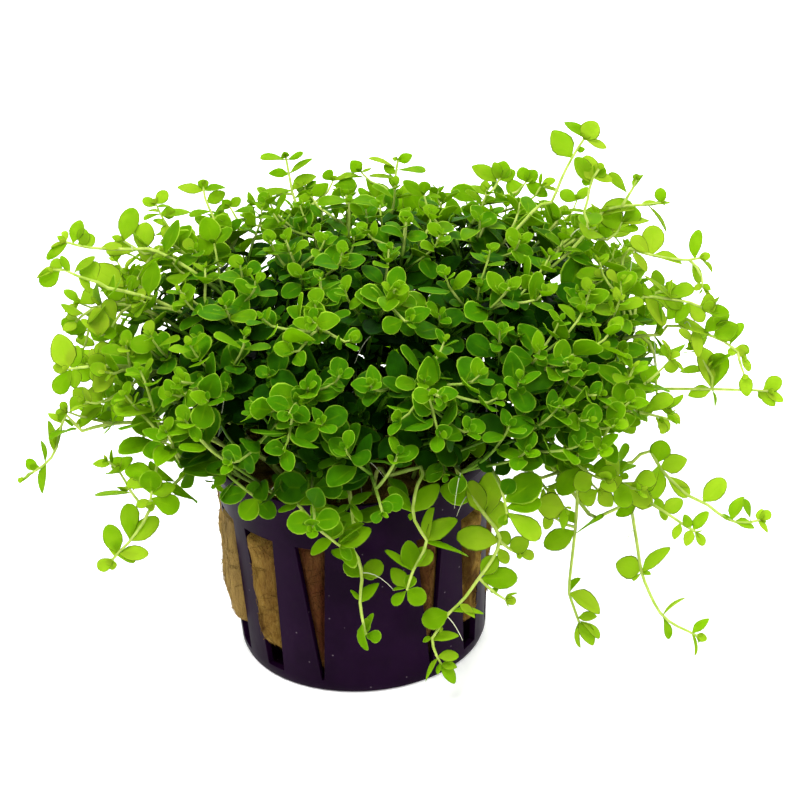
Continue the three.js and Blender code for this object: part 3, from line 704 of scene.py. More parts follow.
class Stem:
    """A stem or side shoot along a line from its foot to its tip."""

    def __init__(self, line, side, radius):
        self.line = line
        steps = np.linalg.norm(np.diff(line, axis=0), axis=1)
        self.run = np.concatenate([[0.0], np.cumsum(steps)])
        self.length = self.run[-1]
        self.side = side
        self.radius = radius
        self.seen_run = 0.0

    def at(self, from_tip):
        run = self.length - from_tip
        return np.array([np.interp(run, self.run, self.line[:, i]) for i in range(3)])

    def axes(self, from_tip):
        """Directions along the stem, to its side and over it."""
        along = unit(self.at(from_tip - 0.2) - self.at(from_tip + 0.2))
        side = unit(self.side - along * np.dot(self.side, along))
        return along, side, np.cross(along, side)

    def round(self, from_tip, turn):
        """The way out of the stem at a turn round it."""
        _, side, over = self.axes(from_tip)
        return side * math.cos(turn) + over * math.sin(turn)

    def nearest(self, point):
        """How far from the tip the stem passes a point."""
        i = np.argmin(np.linalg.norm(self.line - point, axis=1))
        return self.length - self.run[i]

    def follow(self, places, tip, forward):
        """Ends the stem along places in the picture, as deep as its tip, arched forward between."""
        shown = seen_at(self.line)
        start = nearest_seen(shown, *places[0])
        start = max(JOIN_STEPS + 1, min(start, len(self.line) - JOIN_STEPS))
        depths = np.linspace(shown[start, 2], seen_at(tip)[2], len(places) + 1)
        depths = (depths - forward * np.sin(np.linspace(0, math.pi, len(depths))))[1:]
        before = start - JOIN_STEPS
        knots = [self.line[before]]
        knots += [before_pot(px, py, depth) for (px, py), depth in zip(places, depths)]
        end = smoothed(knots)
        ended = Stem(np.concatenate([self.line[:before], end]), self.side, self.radius)
        ended.seen_run = ended.nearest(end[KNOT_STEPS])
        return ended

    def tube(self):
        """The stem's points and radii, for tubes to make."""
        count = max(4, int(self.length / TUBE_STEP) + 1)
        points = [self.at(d) for d in np.linspace(self.length, 0, count)]
        radii = [self.radius * (1 - TIP_THINNER * (i / (count - 1)) ** 2) for i in range(count)]
        return points, radii, STEM_SLOT


def shoot_stem(root, tip, pitch, swing):
    """A shoot's stem: up from its root, over the crest and out to its tip."""
    heading = np.array((tip[0] - root[0], tip[1] - root[1], 0.0))
    run = np.linalg.norm(heading)
    heading = heading / run
    chord = np.linalg.norm(tip - root)
    climb = max(0.0, tip[2] - root[2])
    drop = max(0.0, root[2] + CREST - tip[2])
    lift = CREST / 2 + LIFT_PER_CLIMB * climb + LIFT_PER_DROP * drop
    swung = Matrix.Rotation(swing, 3, "Z") @ Vector(heading)
    end = np.array(swung) * math.cos(pitch) + UP * math.sin(pitch)
    rise = root + heading * (LEAN_PER_RUN * run + LEAN_PER_DROP * drop) + UP * lift
    reach = tip - end * (REACH_PER_CHORD + REACH_PER_DROP * drop) * chord
    return Stem(bent(root, rise, reach, tip), np.cross(heading, UP), STEM_RADIUS)


def corners_of(node):
    """The corners of a node's solid, each once."""
    corners = {tuple(round(c / MM, 2) for c in v.co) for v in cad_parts[node].data.vertices}
    return np.array(sorted(corners))


def root_of(corners):
    """Where a shoot's solid meets the plug: the middle of its lowest ring."""
    is_low = corners[:, 2] < WOOL_TOP + 1.4
    is_inside = np.hypot(corners[:, 0], corners[:, 1]) < ROOTS_WITHIN
    return corners[is_low & is_inside].mean(axis=0)


def spiral(i, count, span, start):
    """Place i of many spread evenly down a ball of radius 1, from its top over a span."""
    height = 1 - span * (i + 0.5) / count
    level = math.sqrt(1 - height * height)
    turn = i * GOLDEN_ANGLE + start
    return np.array((level * math.cos(turn), level * math.sin(turn), height))


tips = [
    (np.array((x, y, z), float), math.radians(pitch), math.radians(swing))
    for x, y, z, pitch, swing in OUTER_TIPS
]
for i in range(MOUND_STEPS):
    at = spiral(i, MOUND_STEPS, 1 - MOUND_LOWEST, 0.0)
    tip = at * MOUND_RADII + MOUND_CENTRE
    is_free = all(np.linalg.norm(other - tip) > TIP_SPACING for other, _, _ in tips)
    if len(tips) < SHOOT_COUNT and is_free:
        tips.append((tip, math.asin(at[2]), 0.0))
node_names = [f"shoot_{n + 1:02d}" for n in range(SHOOT_COUNT)]
solid_corners = [corners_of(name) for name in node_names]
solid_stems = [
    shoot_stem(root_of(corners), *tip) for corners, tip in zip(solid_corners, tips)
]
shoots = list(solid_stems)
for number, places in SEEN_ENDS.items():
    n = number - 1
    shoots[n] = shoots[n].follow(places, tips[n][0], ARCH_FORWARD.get(number, 0.0))

# Side shoots: thinner stems that leave the joints of a shoot, each with a crown of leaves of its
# own on the mound. Some are where the solids have theirs, and those in front where they are seen.
BRANCH_RADIUS = 0.3
NODES = (0.9, 3.1, 7.2, 12.6, 19.0, 26.0, 33.5, 41.5, 50.0, 59.0, 68.0)
BRANCH_SHORTEST = 6.0
BRANCH_LONGEST = 32.0
BRANCH_RISE = 0.36
LOW_RISE = 0.42
BRANCH_REACH = 0.34
STEM_LEFT_BARE = 5.0
WALL_CLEARANCE = 0.7
SOLID_FORKS = slice(3, 5)
CROWN_OFF_STEM = 3.0
CROWN_WIDTH = 1.5
CROWN_CORNERS = 9
SOLID_CROWN_SIZE = 1.05
TURN_COST = 13.0
TAKEN_COST = 5.0
LEAST_LEAN = -0.3
LOW_LEAST_LEAN = -0.6
CROWNS_APART = 4.0
TALL = 80.0
TALL_FREE_FROM = 6.0
LOW_REACH = 34.0
# Crowns in the picture: where each is seen, and its size.
SEEN_CROWNS = [
    (115, 258, 1.0), (262, 207, 0.8), (305, 185, 0.8), (172, 262, 1.1), (205, 268, 1.0),
    (215, 245, 0.9), (300, 205, 0.8), (320, 277, 0.8), (88, 362, 1.2), (85, 402, 1.2),
    (105, 372, 1.1), (140, 300, 1.0), (150, 335, 1.1), (190, 345, 1.3), (240, 345, 1.1),
    (292, 352, 1.5), (308, 388, 1.5), (262, 318, 1.1), (315, 305, 1.4), (207, 400, 1.3),
    (172, 395, 1.1), (185, 420, 1.2), (140, 370, 1.2), (125, 395, 1.0), (185, 300, 1.0),
    (225, 305, 1.2), (252, 412, 1.4), (232, 447, 1.1), (283, 450, 1.4), (322, 422, 1.2),
    (345, 448, 1.1), (395, 285, 1.3), (445, 275, 1.2), (352, 340, 1.0), (370, 385, 1.1),
    (325, 240, 0.9), (270, 240, 1.0), (365, 230, 0.9), (432, 215, 1.2), (405, 215, 0.9),
    (450, 195, 0.9), (565, 235, 1.1), (612, 218, 1.1), (600, 262, 1.2), (620, 300, 1.0),
    (612, 330, 1.3), (612, 345, 1.1), (635, 368, 1.3), (540, 350, 1.2), (545, 292, 1.1),
    (630, 402, 0.9), (480, 375, 1.3), (498, 398, 1.2), (440, 350, 1.2), (425, 380, 1.1),
    (520, 202, 0.9), (480, 220, 0.9), (520, 240, 1.0), (490, 250, 0.9), (500, 330, 1.1),
    (560, 320, 1.1), (590, 290, 1.0), (570, 370, 1.1), (600, 395, 1.0), (560, 405, 1.0),
    (520, 380, 1.4), (615, 425, 1.0), (580, 445, 1.0), (440, 400, 1.0), (400, 420, 1.1),
    (380, 430, 1.1), (440, 434, 1.3), (470, 430, 1.1), (510, 425, 1.2), (398, 452, 1.1),
    (165, 430, 1.0), (200, 440, 1.0), (215, 470, 0.9), (365, 445, 1.0), (605, 480, 1.1),
    (640, 490, 1.1), (590, 420, 1.0), (380, 205, 0.8), (240, 265, 1.0), (252, 242, 0.9),
    (270, 280, 1.0), (345, 290, 1.0), (340, 375, 0.9), (410, 320, 1.0),
]
LOW_CROWNS = [(322, 470, 1.1), (395, 466, 1.1), (445, 474, 1.1), (215, 485, 0.8)]
# Crowns at the edge: where, whether it hangs low, and the leaves that are seen singly.
LEAFY_CROWNS = [
    (156, 204, False, [
        (158, 203, 167, 191, 12), (153, 207, 142, 199, 9), (155, 204, 151, 199, 5),
        (157, 213, 147, 210, 3), (155, 217, 143, 217, 5), (160, 205, 170, 206, 3),
        (160, 214, 176, 212, 12), (157, 233, 153, 219, 6), (170, 212, 190, 209, 8),
        (158, 228, 166, 240, 9),
    ]),
    (165, 245, False, [(163, 244, 194, 230, 16), (165, 246, 150, 256, 10)]),
    (214, 243, False, [(214, 243, 205, 217, 21), (216, 242, 232, 228, 12)]),
    (311, 196, False, [(311, 196, 328, 184, 12), (311, 196, 298, 200, 8)]),
    (333, 181, False, [
        (333, 181, 325, 171, 12), (334, 181, 345, 177, 4), (337, 188, 356, 183, 12),
    ]),
    (361, 172, False, [
        (361, 172, 351, 161, 13), (361, 171, 372, 169, 3), (362, 180, 338, 175, 4),
        (363, 182, 378, 196, 9),
    ]),
    (349, 202, False, [
        (347, 200, 318, 198, 10), (352, 200, 384, 201, 10), (348, 206, 321, 207, 4),
        (350, 204, 362, 214, 9),
    ]),
    (424, 195, False, [
        (424, 195, 425, 181, 11), (421, 196, 402, 182, 12), (425, 196, 441, 195, 4),
    ]),
    (526, 182, False, [
        (525, 181, 521, 167, 13), (527, 181, 537, 170, 12), (529, 187, 506, 190, 17),
        (532, 187, 548, 196, 12),
    ]),
    (541, 186, False, [(541, 186, 555, 179, 8), (541, 183, 541, 173, 3), (543, 189, 560, 188, 3)]),
    (577, 200, False, [(577, 200, 560, 192, 12), (577, 200, 588, 187, 9)]),
    (125, 286, False, [
        (123, 284, 88, 266, 25), (124, 289, 108, 297, 16), (125, 298, 135, 287, 14),
        (118, 270, 139, 279, 14),
    ]),
    (79, 303, False, [
        (78, 302, 97, 292, 16), (78, 297, 65, 288, 9), (76, 303, 67, 324, 7),
        (74, 305, 63, 309, 5),
    ]),
    (100, 336, False, [
        (100, 337, 97, 307, 21), (99, 312, 106, 299, 15), (91, 319, 81, 319, 8),
        (104, 340, 116, 330, 12),
    ]),
    (670, 360, False, [
        (669, 358, 663, 344, 10), (670, 358, 679, 350, 7), (670, 358, 673, 374, 16),
        (676, 366, 686, 371, 3), (668, 352, 666, 339, 3),
    ]),
    (598, 490, False, [
        (602, 486, 580, 501, 19), (606, 488, 623, 478, 15), (604, 490, 613, 507, 15),
    ]),
    (566, 508, False, [(564, 510, 536, 504, 26), (566, 512, 561, 530, 10)]),
    (68, 412, False, [
        (68, 412, 61, 402, 8), (70, 412, 80, 396, 13), (66, 414, 55, 412, 6),
        (80, 416, 104, 406, 15), (98, 415, 112, 414, 9), (66, 414, 58, 420, 7),
    ]),
    (350, 504, True, [
        (350, 504, 372, 493, 10), (350, 506, 358, 514, 7), (347, 508, 336, 515, 5),
        (345, 498, 330, 487, 13), (346, 492, 352, 477, 14), (348, 512, 363, 521, 7),
    ]),
]
MOUND_OUTLINE = [
    (55, 350), (62, 260), (110, 245), (150, 205), (205, 200), (240, 208), (285, 180), (350, 180),
    (395, 178), (430, 205), (480, 188), (520, 180), (560, 200), (600, 195), (640, 222), (632, 262),
    (645, 290), (690, 300), (718, 325), (690, 335), (650, 355), (640, 410), (625, 440), (590, 458),
    (545, 440), (500, 432), (440, 446), (365, 448), (335, 452), (310, 440), (270, 432), (215, 442),
    (190, 435), (150, 420), (110, 400), (65, 405),
]
HOLLOW = (372, 375, 38, 36)
GAPS = [(376, 480, 22, 28), (263, 474, 25, 12), (479, 470, 24, 20), (214, 446, 16, 24)]
CROWN_RUN = 6.0
CROWN_LAYERS = [
    (1.0, 7.6, 1100), (0.86, 7.3, 900), (0.7, 7.6, 700), (0.5, 8.2, 500), (0.3, 7.0, 90),
]
LAYER_SPAN = 1.55
LAYER_TURN = 9.0
ROUND_POT = 33.0
OUTER_SIZES = (0.85, 1.15)
INNER_SIZES = (1.05, 1.35)


def along_ray_to_ball(start, ray):
    """How far along a ray it first meets a ball of radius 1, or passes closest to it."""
    a, b, c = ray @ ray, start @ ray, start @ start - 1
    inside = b * b - a * c
    return (-b - math.sqrt(inside)) / a if inside > 0 else -b / a


def on_mound(px, py):
    """The nearest point of the mound that is seen at a place in the picture."""
    start = (np.array(eye) - MOUND_CENTRE) / MOUND_RADII
    return seen_point(px, py, along_ray_to_ball(start, seen_ray(px, py) / MOUND_RADII))


def on_drape(px, py):
    """The nearest point on an upright drum round the pot that is seen at a place."""
    start, ray = np.array(eye)[:2] / LOW_REACH, seen_ray(px, py)[:2] / LOW_REACH
    return seen_point(px, py, along_ray_to_ball(start, ray))


def mound_normal(point):
    return unit((point - MOUND_CENTRE) / MOUND_RADII**2)


def is_in_outline(px, py):
    inside = False
    for (ax, ay), (bx, by) in zip(MOUND_OUTLINE, MOUND_OUTLINE[1:] + MOUND_OUTLINE[:1]):
        if (ay > py) != (by > py) and px < ax + (py - ay) * (bx - ax) / (by - ay):
            inside = not inside
    return inside


def is_in_oval(px, py, x, y, half_width, half_height):
    return math.hypot((px - x) / half_width, (py - y) / half_height) < 1


def is_clear_of_wall(line):
    is_over = line[:, 2] > POT_HEIGHT + WALL_CLEARANCE
    is_outside = np.hypot(line[:, 0], line[:, 1]) > RIM_RADIUS + WALL_CLEARANCE
    return np.all(is_over | is_outside)


def side_crowns(corners, stem):
    """Where the side shoots of a shoot's solid end: its close groups of corners off the stem."""
    away = np.linalg.norm(corners[:, None] - stem.line[None], axis=2).min(axis=1)
    outer = corners[away > CROWN_OFF_STEM]
    found = []
    for corner in outer:
        group = outer[np.linalg.norm(outer - corner, axis=1) < CROWN_WIDTH]
        is_new = all(np.linalg.norm(corner - other) > CROWN_OFF_STEM for other in found)
        if len(group) >= CROWN_CORNERS and is_new:
            found.append(group.mean(axis=0))
    return found


def grown(stem, from_tip, crown, is_low):
    """A side shoot from a joint of a stem to its crown."""
    foot = stem.at(from_tip)
    chord = np.linalg.norm(crown - foot)
    towards = (crown - foot) / chord
    outwards = unit(np.array((crown[0], crown[1], 0.0)))
    if is_low:
        end = unit(outwards * 0.45 + towards * 0.8 - UP * 0.35)
        rise = foot + unit(outwards * 0.8 + UP * 0.9 + towards * 0.3) * chord * LOW_RISE
    else:
        end = unit(mound_normal(crown) * 0.55 + towards * 0.3 + UP * 0.55)
        start = unit(stem.axes(from_tip)[0] * 0.5 + towards * 0.6 + UP * 0.2)
        rise = foot + start * chord * BRANCH_RISE
    line = bent(foot, rise, crown - end * chord * BRANCH_REACH, crown)
    return Stem(line, unit(np.cross(end, UP + 0.01)), BRANCH_RADIUS)


def forks_near(crown, is_low):
    """The joints that a side shoot can start from, as (cost, shoot, place), the best first."""
    found = []
    for n, stem in enumerate(shoots):
        free_from = TALL_FREE_FROM if tips[n][0][2] > TALL else stem.seen_run
        for from_tip in NODES[2:]:
            if not free_from <= from_tip <= stem.length - STEM_LEFT_BARE:
                continue
            foot = stem.at(from_tip)
            chord = np.linalg.norm(crown - foot)
            if not BRANCH_SHORTEST < chord < BRANCH_LONGEST:
                continue
            lean = np.dot((crown - foot) / chord, stem.axes(from_tip)[0])
            if lean > (LOW_LEAST_LEAN if is_low else LEAST_LEAN):
                crowded = TAKEN_COST * forks_taken.get((n, from_tip), 0)
                found.append((chord + TURN_COST * (1 - lean) + crowded, n, from_tip))
    return sorted(found)


branches = []
crowns = []
forks_taken = {}
for n, (corners, solid) in enumerate(zip(solid_corners, solid_stems)):
    for crown in side_crowns(corners, solid):
        forks = [shoots[n].nearest(solid.at(d)) for d in NODES[SOLID_FORKS]]
        from_tip = min(forks, key=lambda d: np.linalg.norm(shoots[n].at(d) - crown))
        crowns.append(crown)
        branches.append((n, grown(shoots[n], from_tip, crown, False), SOLID_CROWN_SIZE, []))

wanted = [
    (on_drape(px, py) if is_low else on_mound(px, py), 1.0, is_low, rows)
    for px, py, is_low, rows in LEAFY_CROWNS
]
wanted += [(on_drape(px, py), size, True, []) for px, py, size in LOW_CROWNS]
wanted += [(on_mound(px, py), size, False, []) for px, py, size in SEEN_CROWNS]
for layer, spacing, count in CROWN_LAYERS:
    for i in range(count):
        at = spiral(i, count, LAYER_SPAN, layer * LAYER_TURN) * MOUND_RADII * layer + MOUND_CENTRE
        px, py, _ = seen_at(at)
        is_hollow = at[1] < 0 and is_in_oval(px, py, *HOLLOW)
        is_on_pot = at[2] < POT_HEIGHT and math.hypot(at[0], at[1]) < ROUND_POT
        if is_hollow or is_on_pot or not is_in_outline(px, py):
            continue
        others = np.array(crowns + [row[0] for row in wanted] + [tip for tip, _, _ in tips])
        if np.min(np.linalg.norm(others - at, axis=1)) > spacing:
            sizes = OUTER_SIZES if layer == 1.0 else INNER_SIZES
            size = varied(i, 22, *sizes)
            wanted.append((at, size, False, []))

for crown, size, is_low, rows in wanted:
    if not rows and np.min(np.linalg.norm(np.array(crowns) - crown, axis=1)) < CROWNS_APART:
        continue
    for _, n, from_tip in forks_near(crown, is_low):
        branch = grown(shoots[n], from_tip, crown, is_low)
        if is_clear_of_wall(branch.line):
            forks_taken[(n, from_tip)] = forks_taken.get((n, from_tip), 0) + 1
            crowns.append(crown)
            branch.seen_run = CROWN_RUN if rows else 0.0
            branches.append((n, branch, size, rows))
            break

sprigs = []
for number, places in SEEN_SPRIGS:
    stem = shoots[number - 1]
    shown = seen_at(stem.line)
    i = nearest_seen(shown, *places[0])
    depth = shown[i, 2] - SPRIG_FORWARD
    knots = [stem.line[i]] + [seen_point(px, py, depth) for px, py in places[1:]]
    sprigs.append((number - 1, Stem(smoothed(knots), stem.side, BRANCH_RADIUS)))

# The leaves: soft thin blades in opposite pairs, each pair square to the next, larger away from
# the tip. A blade is a flattened bud shape, drawn out, cupped and curled a little differently
# each time. Small pairs sit in the angles of some leaves, and the tip ends in a tight bud.
LEAF_SPANS = (3.0, 4.6, 5.7, 6.2, 6.3, 6.2, 5.8, 5.4, 5.0, 4.6, 4.4)
LEAF_RISES = (42, 22, 14, 10, 8, 6, 4, 4, 2, 2, 0)
LEAF_OUTLINES = (
    (0.14, 0.46, 0.84, 1.00, 0.94, 0.71, 0.38),
    (0.14, 0.54, 0.94, 1.00, 0.86, 0.60, 0.29),
    (0.12, 0.38, 0.78, 1.00, 0.94, 0.69, 0.35),
    (0.10, 0.28, 0.62, 0.92, 1.00, 0.82, 0.45),
    (0.12, 0.42, 0.88, 1.00, 0.83, 0.53, 0.22),
)
LEAF_BREADTHS = (0.88, 0.80, 0.70, 0.76, 0.62)
LEAF_THICKNESS = 0.18
LEAF_RINGS = 8
LEAF_SIDES = 8
LEAVES_APART = 1.2
# How light the plant is painted: a plain level, painted light added at the mound's sides, top and
# back up to a most, and painted shade deep inside it.
PLAIN_LIGHT = 0.44
SIDE_LIGHT = 0.46
TOP_LIGHT = 0.18
BACK_LIGHT = 0.24
MOST_LIGHT = 0.90
DEEP_SHADE = 0.72
AGE_SHADE = 0.03
LIGHTEST = 1.05
MARGIN_SPREAD = 1.21
LEAF_MIDDLE = 0.55
LEAF_CLEARANCE = 0.5
SHORT_LEAF = 3.0
FRONT_BEFORE = 5.0
LOST_FROM_PAIR = 6
LOST_SHARE = 0.25
SMALL_PAIRS = range(1, 7)
SMALL_PAIR_SHARE = 0.4
SMALL_SPANS = (1.3, 2.4)
BUD_SPAN = 1.5
SHOOT_FOOT = 4.0
BRANCH_FOOT = 2.5
SEEN_WIDER = 1.1
SEEN_NARROWEST = 0.62
SEEN_SEED = 5000
CROWN_SEED = 9000
SEEDS_APART = 20
SPRIG_SEED = 90
BRANCH_SEED = 100
# Leaves seen singly, by shoot: where each starts and ends in the picture, and its breadth.
SEEN_LEAVES = {
    1: [
        (571, 158, 552, 130, 22), (585, 139, 566, 119, 9), (584, 140, 597, 121, 19),
        (586, 140, 607, 148, 7), (577, 150, 585, 149, 6),
    ],
    2: [
        (590, 182, 574, 158, 15), (591, 180, 586, 155, 20), (594, 176, 604, 166, 14),
        (594, 179, 613, 178, 9), (590, 185, 582, 180, 7),
    ],
    3: [
        (660, 203, 660, 188, 11), (650, 203, 671, 205, 3), (640, 205, 657, 202, 6),
        (629, 195, 610, 172, 9), (634, 188, 643, 173, 6), (637, 181, 636, 174, 9),
        (648, 205, 671, 229, 3), (618, 231, 606, 206, 22), (621, 224, 639, 210, 16),
        (622, 224, 652, 217, 6), (620, 231, 639, 230, 8), (612, 236, 599, 228, 10),
    ],
    4: [
        (651, 255, 654, 224, 21), (650, 254, 632, 236, 14), (653, 256, 683, 262, 9),
        (694, 259, 697, 229, 12), (699, 258, 710, 255, 8), (700, 259, 714, 271, 2),
        (630, 251, 645, 273, 8), (693, 262, 702, 283, 9), (702, 283, 694, 290, 6),
        (703, 284, 711, 290, 6), (703, 287, 712, 297, 4),
    ],
    5: [
        (672, 298, 643, 276, 5), (668, 298, 694, 288, 14), (664, 298, 684, 306, 14),
        (671, 297, 673, 279, 3), (708, 314, 718, 296, 3), (706, 332, 707, 301, 18),
        (690, 302, 676, 324, 12), (688, 302, 704, 322, 14), (700, 307, 716, 300, 17),
        (706, 311, 730, 312, 13), (711, 313, 719, 295, 3), (645, 298, 664, 326, 14),
        (642, 298, 628, 280, 12), (652, 298, 640, 288, 8), (680, 301, 668, 320, 13),
    ],
    6: [
        (712, 340, 738, 325, 21), (730, 346, 740, 321, 11), (712, 338, 675, 318, 10),
        (738, 352, 727, 351, 8), (740, 354, 748, 345, 12), (741, 356, 750, 371, 8),
        (744, 374, 748, 397, 13), (690, 330, 702, 356, 11), (733, 348, 748, 352, 12),
        (705, 333, 727, 311, 13),
    ],
    7: [
        (713, 389, 704, 346, 20), (714, 389, 722, 353, 21), (713, 390, 688, 394, 13),
        (713, 390, 718, 406, 2), (757, 391, 776, 404, 11), (764, 390, 782, 378, 15),
        (766, 391, 783, 402, 9), (757, 391, 766, 400, 8),
    ],
    8: [(645, 408, 673, 396, 16), (660, 412, 668, 432, 12)],
    9: [
        (656, 464, 663, 440, 20), (660, 468, 687, 459, 19), (660, 468, 654, 500, 18),
        (668, 476, 688, 497, 14), (678, 487, 688, 486, 2), (703, 503, 725, 479, 19),
        (733, 520, 741, 495, 11), (750, 522, 748, 499, 5), (733, 521, 756, 526, 9),
        (733, 520, 722, 514, 4), (757, 521, 771, 512, 10), (757, 520, 762, 508, 7),
        (759, 521, 769, 532, 5),
    ],
    10: [
        (680, 522, 675, 540, 8), (694, 530, 709, 512, 11), (692, 530, 686, 546, 10),
        (695, 532, 705, 545, 9), (690, 528, 684, 514, 9), (662, 511, 655, 498, 9),
        (658, 508, 668, 520, 8), (655, 505, 631, 494, 18), (664, 512, 683, 500, 15),
    ],
    11: [
        (640, 570, 616, 564, 22), (642, 572, 666, 544, 13), (663, 616, 681, 594, 2),
        (663, 617, 670, 639, 7), (692, 633, 708, 617, 9), (695, 635, 708, 640, 8),
        (692, 634, 699, 655, 5), (641, 572, 633, 581, 4), (642, 574, 651, 575, 4),
    ],
    12: [
        (570, 594, 602, 611, 16), (570, 592, 578, 576, 7), (579, 622, 577, 648, 6),
        (579, 621, 594, 645, 13), (579, 620, 602, 635, 8), (578, 618, 597, 616, 9),
        (575, 530, 545, 546, 20), (556, 520, 556, 496, 14), (576, 535, 604, 515, 4),
        (575, 525, 568, 510, 10), (550, 513, 545, 530, 10),
    ],
    13: [
        (472, 499, 440, 488, 22), (484, 512, 470, 480, 19), (488, 516, 493, 471, 24),
        (495, 540, 456, 536, 24), (500, 545, 508, 531, 18), (509, 550, 529, 541, 17),
        (517, 553, 535, 556, 10), (501, 548, 508, 564, 11), (497, 531, 497, 500, 22),
        (481, 575, 497, 556, 17), (482, 579, 518, 577, 21), (449, 613, 422, 623, 21),
        (451, 611, 484, 611, 6), (460, 603, 476, 616, 7), (433, 640, 459, 634, 10),
        (433, 638, 422, 641, 5), (437, 657, 459, 655, 11), (438, 658, 421, 679, 5),
        (441, 664, 456, 683, 11), (441, 664, 457, 667, 8), (440, 662, 437, 674, 5),
        (437, 630, 443, 628, 6), (504, 599, 517, 602, 8), (504, 600, 516, 591, 2),
        (496, 594, 493, 587, 8),
    ],
    14: [
        (413, 513, 390, 486, 14), (414, 512, 437, 482, 20), (426, 541, 429, 506, 12),
        (427, 541, 455, 517, 18), (427, 542, 470, 551, 6), (413, 571, 408, 540, 19),
        (414, 570, 427, 547, 10), (416, 567, 432, 551, 15), (413, 572, 384, 551, 8),
        (408, 588, 391, 567, 15), (407, 590, 412, 575, 12), (407, 590, 425, 602, 18),
        (407, 590, 393, 605, 10), (407, 588, 392, 587, 4), (413, 513, 409, 520, 4),
    ],
    15: [
        (362, 577, 344, 562, 15), (363, 577, 383, 562, 18), (362, 578, 374, 579, 3),
        (361, 604, 378, 582, 11), (363, 623, 364, 651, 9), (365, 634, 367, 618, 8),
        (366, 634, 381, 638, 12), (366, 632, 375, 614, 7), (360, 600, 350, 590, 5),
    ],
    16: [
        (247, 491, 220, 498, 17), (252, 496, 256, 480, 17), (257, 498, 242, 519, 20),
        (257, 498, 274, 518, 17), (232, 478, 222, 462, 12), (228, 473, 214, 486, 10),
        (257, 498, 268, 488, 8),
    ],
    17: [
        (295, 500, 293, 467, 28), (292, 492, 274, 473, 13), (298, 503, 331, 492, 16),
        (297, 503, 278, 512, 7), (320, 530, 288, 520, 18), (322, 532, 316, 501, 17),
        (332, 541, 333, 516, 20), (340, 546, 358, 531, 16), (332, 541, 309, 552, 12),
        (340, 546, 372, 530, 17), (340, 546, 352, 560, 10), (336, 544, 362, 521, 7),
        (330, 540, 346, 522, 10), (312, 520, 326, 512, 8),
    ],
    18: [
        (505, 502, 541, 477, 29), (503, 496, 512, 479, 16), (506, 508, 542, 502, 17),
        (507, 513, 541, 537, 20), (493, 472, 478, 462, 10), (494, 474, 512, 462, 14),
        (507, 514, 500, 526, 9),
    ],
    19: [
        (130, 541, 126, 503, 18), (131, 541, 159, 518, 19), (119, 553, 108, 524, 18),
        (118, 554, 149, 554, 14), (114, 559, 98, 569, 13), (115, 557, 114, 541, 11),
        (118, 556, 136, 560, 9), (113, 560, 112, 571, 8),
    ],
    20: [
        (152, 495, 150, 470, 27), (155, 478, 124, 466, 17), (152, 488, 126, 482, 12),
        (151, 498, 180, 508, 20), (152, 495, 176, 486, 14), (150, 500, 136, 506, 9),
        (163, 444, 118, 452, 17), (165, 441, 133, 418, 21), (151, 500, 152, 512, 7),
    ],
    21: [
        (55, 452, 50, 420, 9), (57, 447, 62, 424, 7), (45, 464, 44, 440, 5), (47, 463, 42, 494, 8),
        (35, 471, 27, 458, 10), (40, 468, 30, 466, 6), (34, 472, 22, 480, 3),
        (62, 424, 50, 410, 7), (63, 420, 74, 425, 4),
    ],
    22: [
        (68, 368, 58, 334, 24), (72, 369, 78, 345, 15), (69, 369, 51, 367, 10),
        (70, 369, 55, 394, 17), (74, 369, 74, 388, 13), (90, 366, 105, 384, 16),
    ],
    23: [
        (60, 270, 40, 285, 17), (62, 269, 51, 261, 13), (58, 270, 35, 276, 7),
        (74, 274, 95, 256, 8), (96, 283, 86, 262, 20), (70, 272, 60, 256, 8),
        (78, 277, 92, 292, 9),
    ],
    24: [
        (72, 245, 79, 219, 13), (78, 246, 95, 237, 14), (84, 247, 82, 228, 12),
        (68, 243, 45, 257, 9), (66, 242, 57, 236, 6), (67, 242, 64, 231, 6), (66, 242, 50, 248, 3),
        (100, 249, 122, 243, 8),
    ],
    26: [
        (124, 241, 133, 207, 19), (140, 251, 147, 222, 20), (124, 241, 112, 236, 7),
        (138, 249, 106, 251, 14), (137, 248, 160, 262, 15),
    ],
    27: [
        (203, 190, 177, 187, 10), (204, 190, 226, 188, 6), (206, 202, 225, 192, 12),
        (203, 190, 203, 179, 11), (212, 214, 228, 217, 7), (210, 211, 189, 212, 7),
        (229, 206, 222, 200, 10), (230, 207, 241, 197, 9), (229, 209, 216, 210, 3),
        (234, 212, 253, 210, 6),
    ],
    28: [
        (286, 160, 260, 160, 7), (287, 159, 304, 154, 6), (289, 174, 268, 174, 9),
        (289, 174, 314, 160, 6), (286, 158, 284, 151, 8), (292, 190, 257, 192, 9),
        (293, 190, 314, 172, 11), (294, 198, 326, 186, 11),
    ],
    29: [
        (397, 162, 412, 155, 10), (396, 170, 426, 168, 7), (396, 168, 371, 154, 4),
        (395, 173, 384, 165, 9), (395, 178, 368, 177, 4), (397, 160, 392, 158, 4),
        (394, 198, 416, 186, 12), (394, 198, 374, 202, 9),
    ],
    30: [
        (498, 183, 471, 167, 14), (500, 182, 505, 160, 17), (499, 181, 493, 162, 10),
        (488, 195, 464, 184, 7), (485, 200, 452, 188, 16), (500, 180, 516, 171, 12),
    ],
}

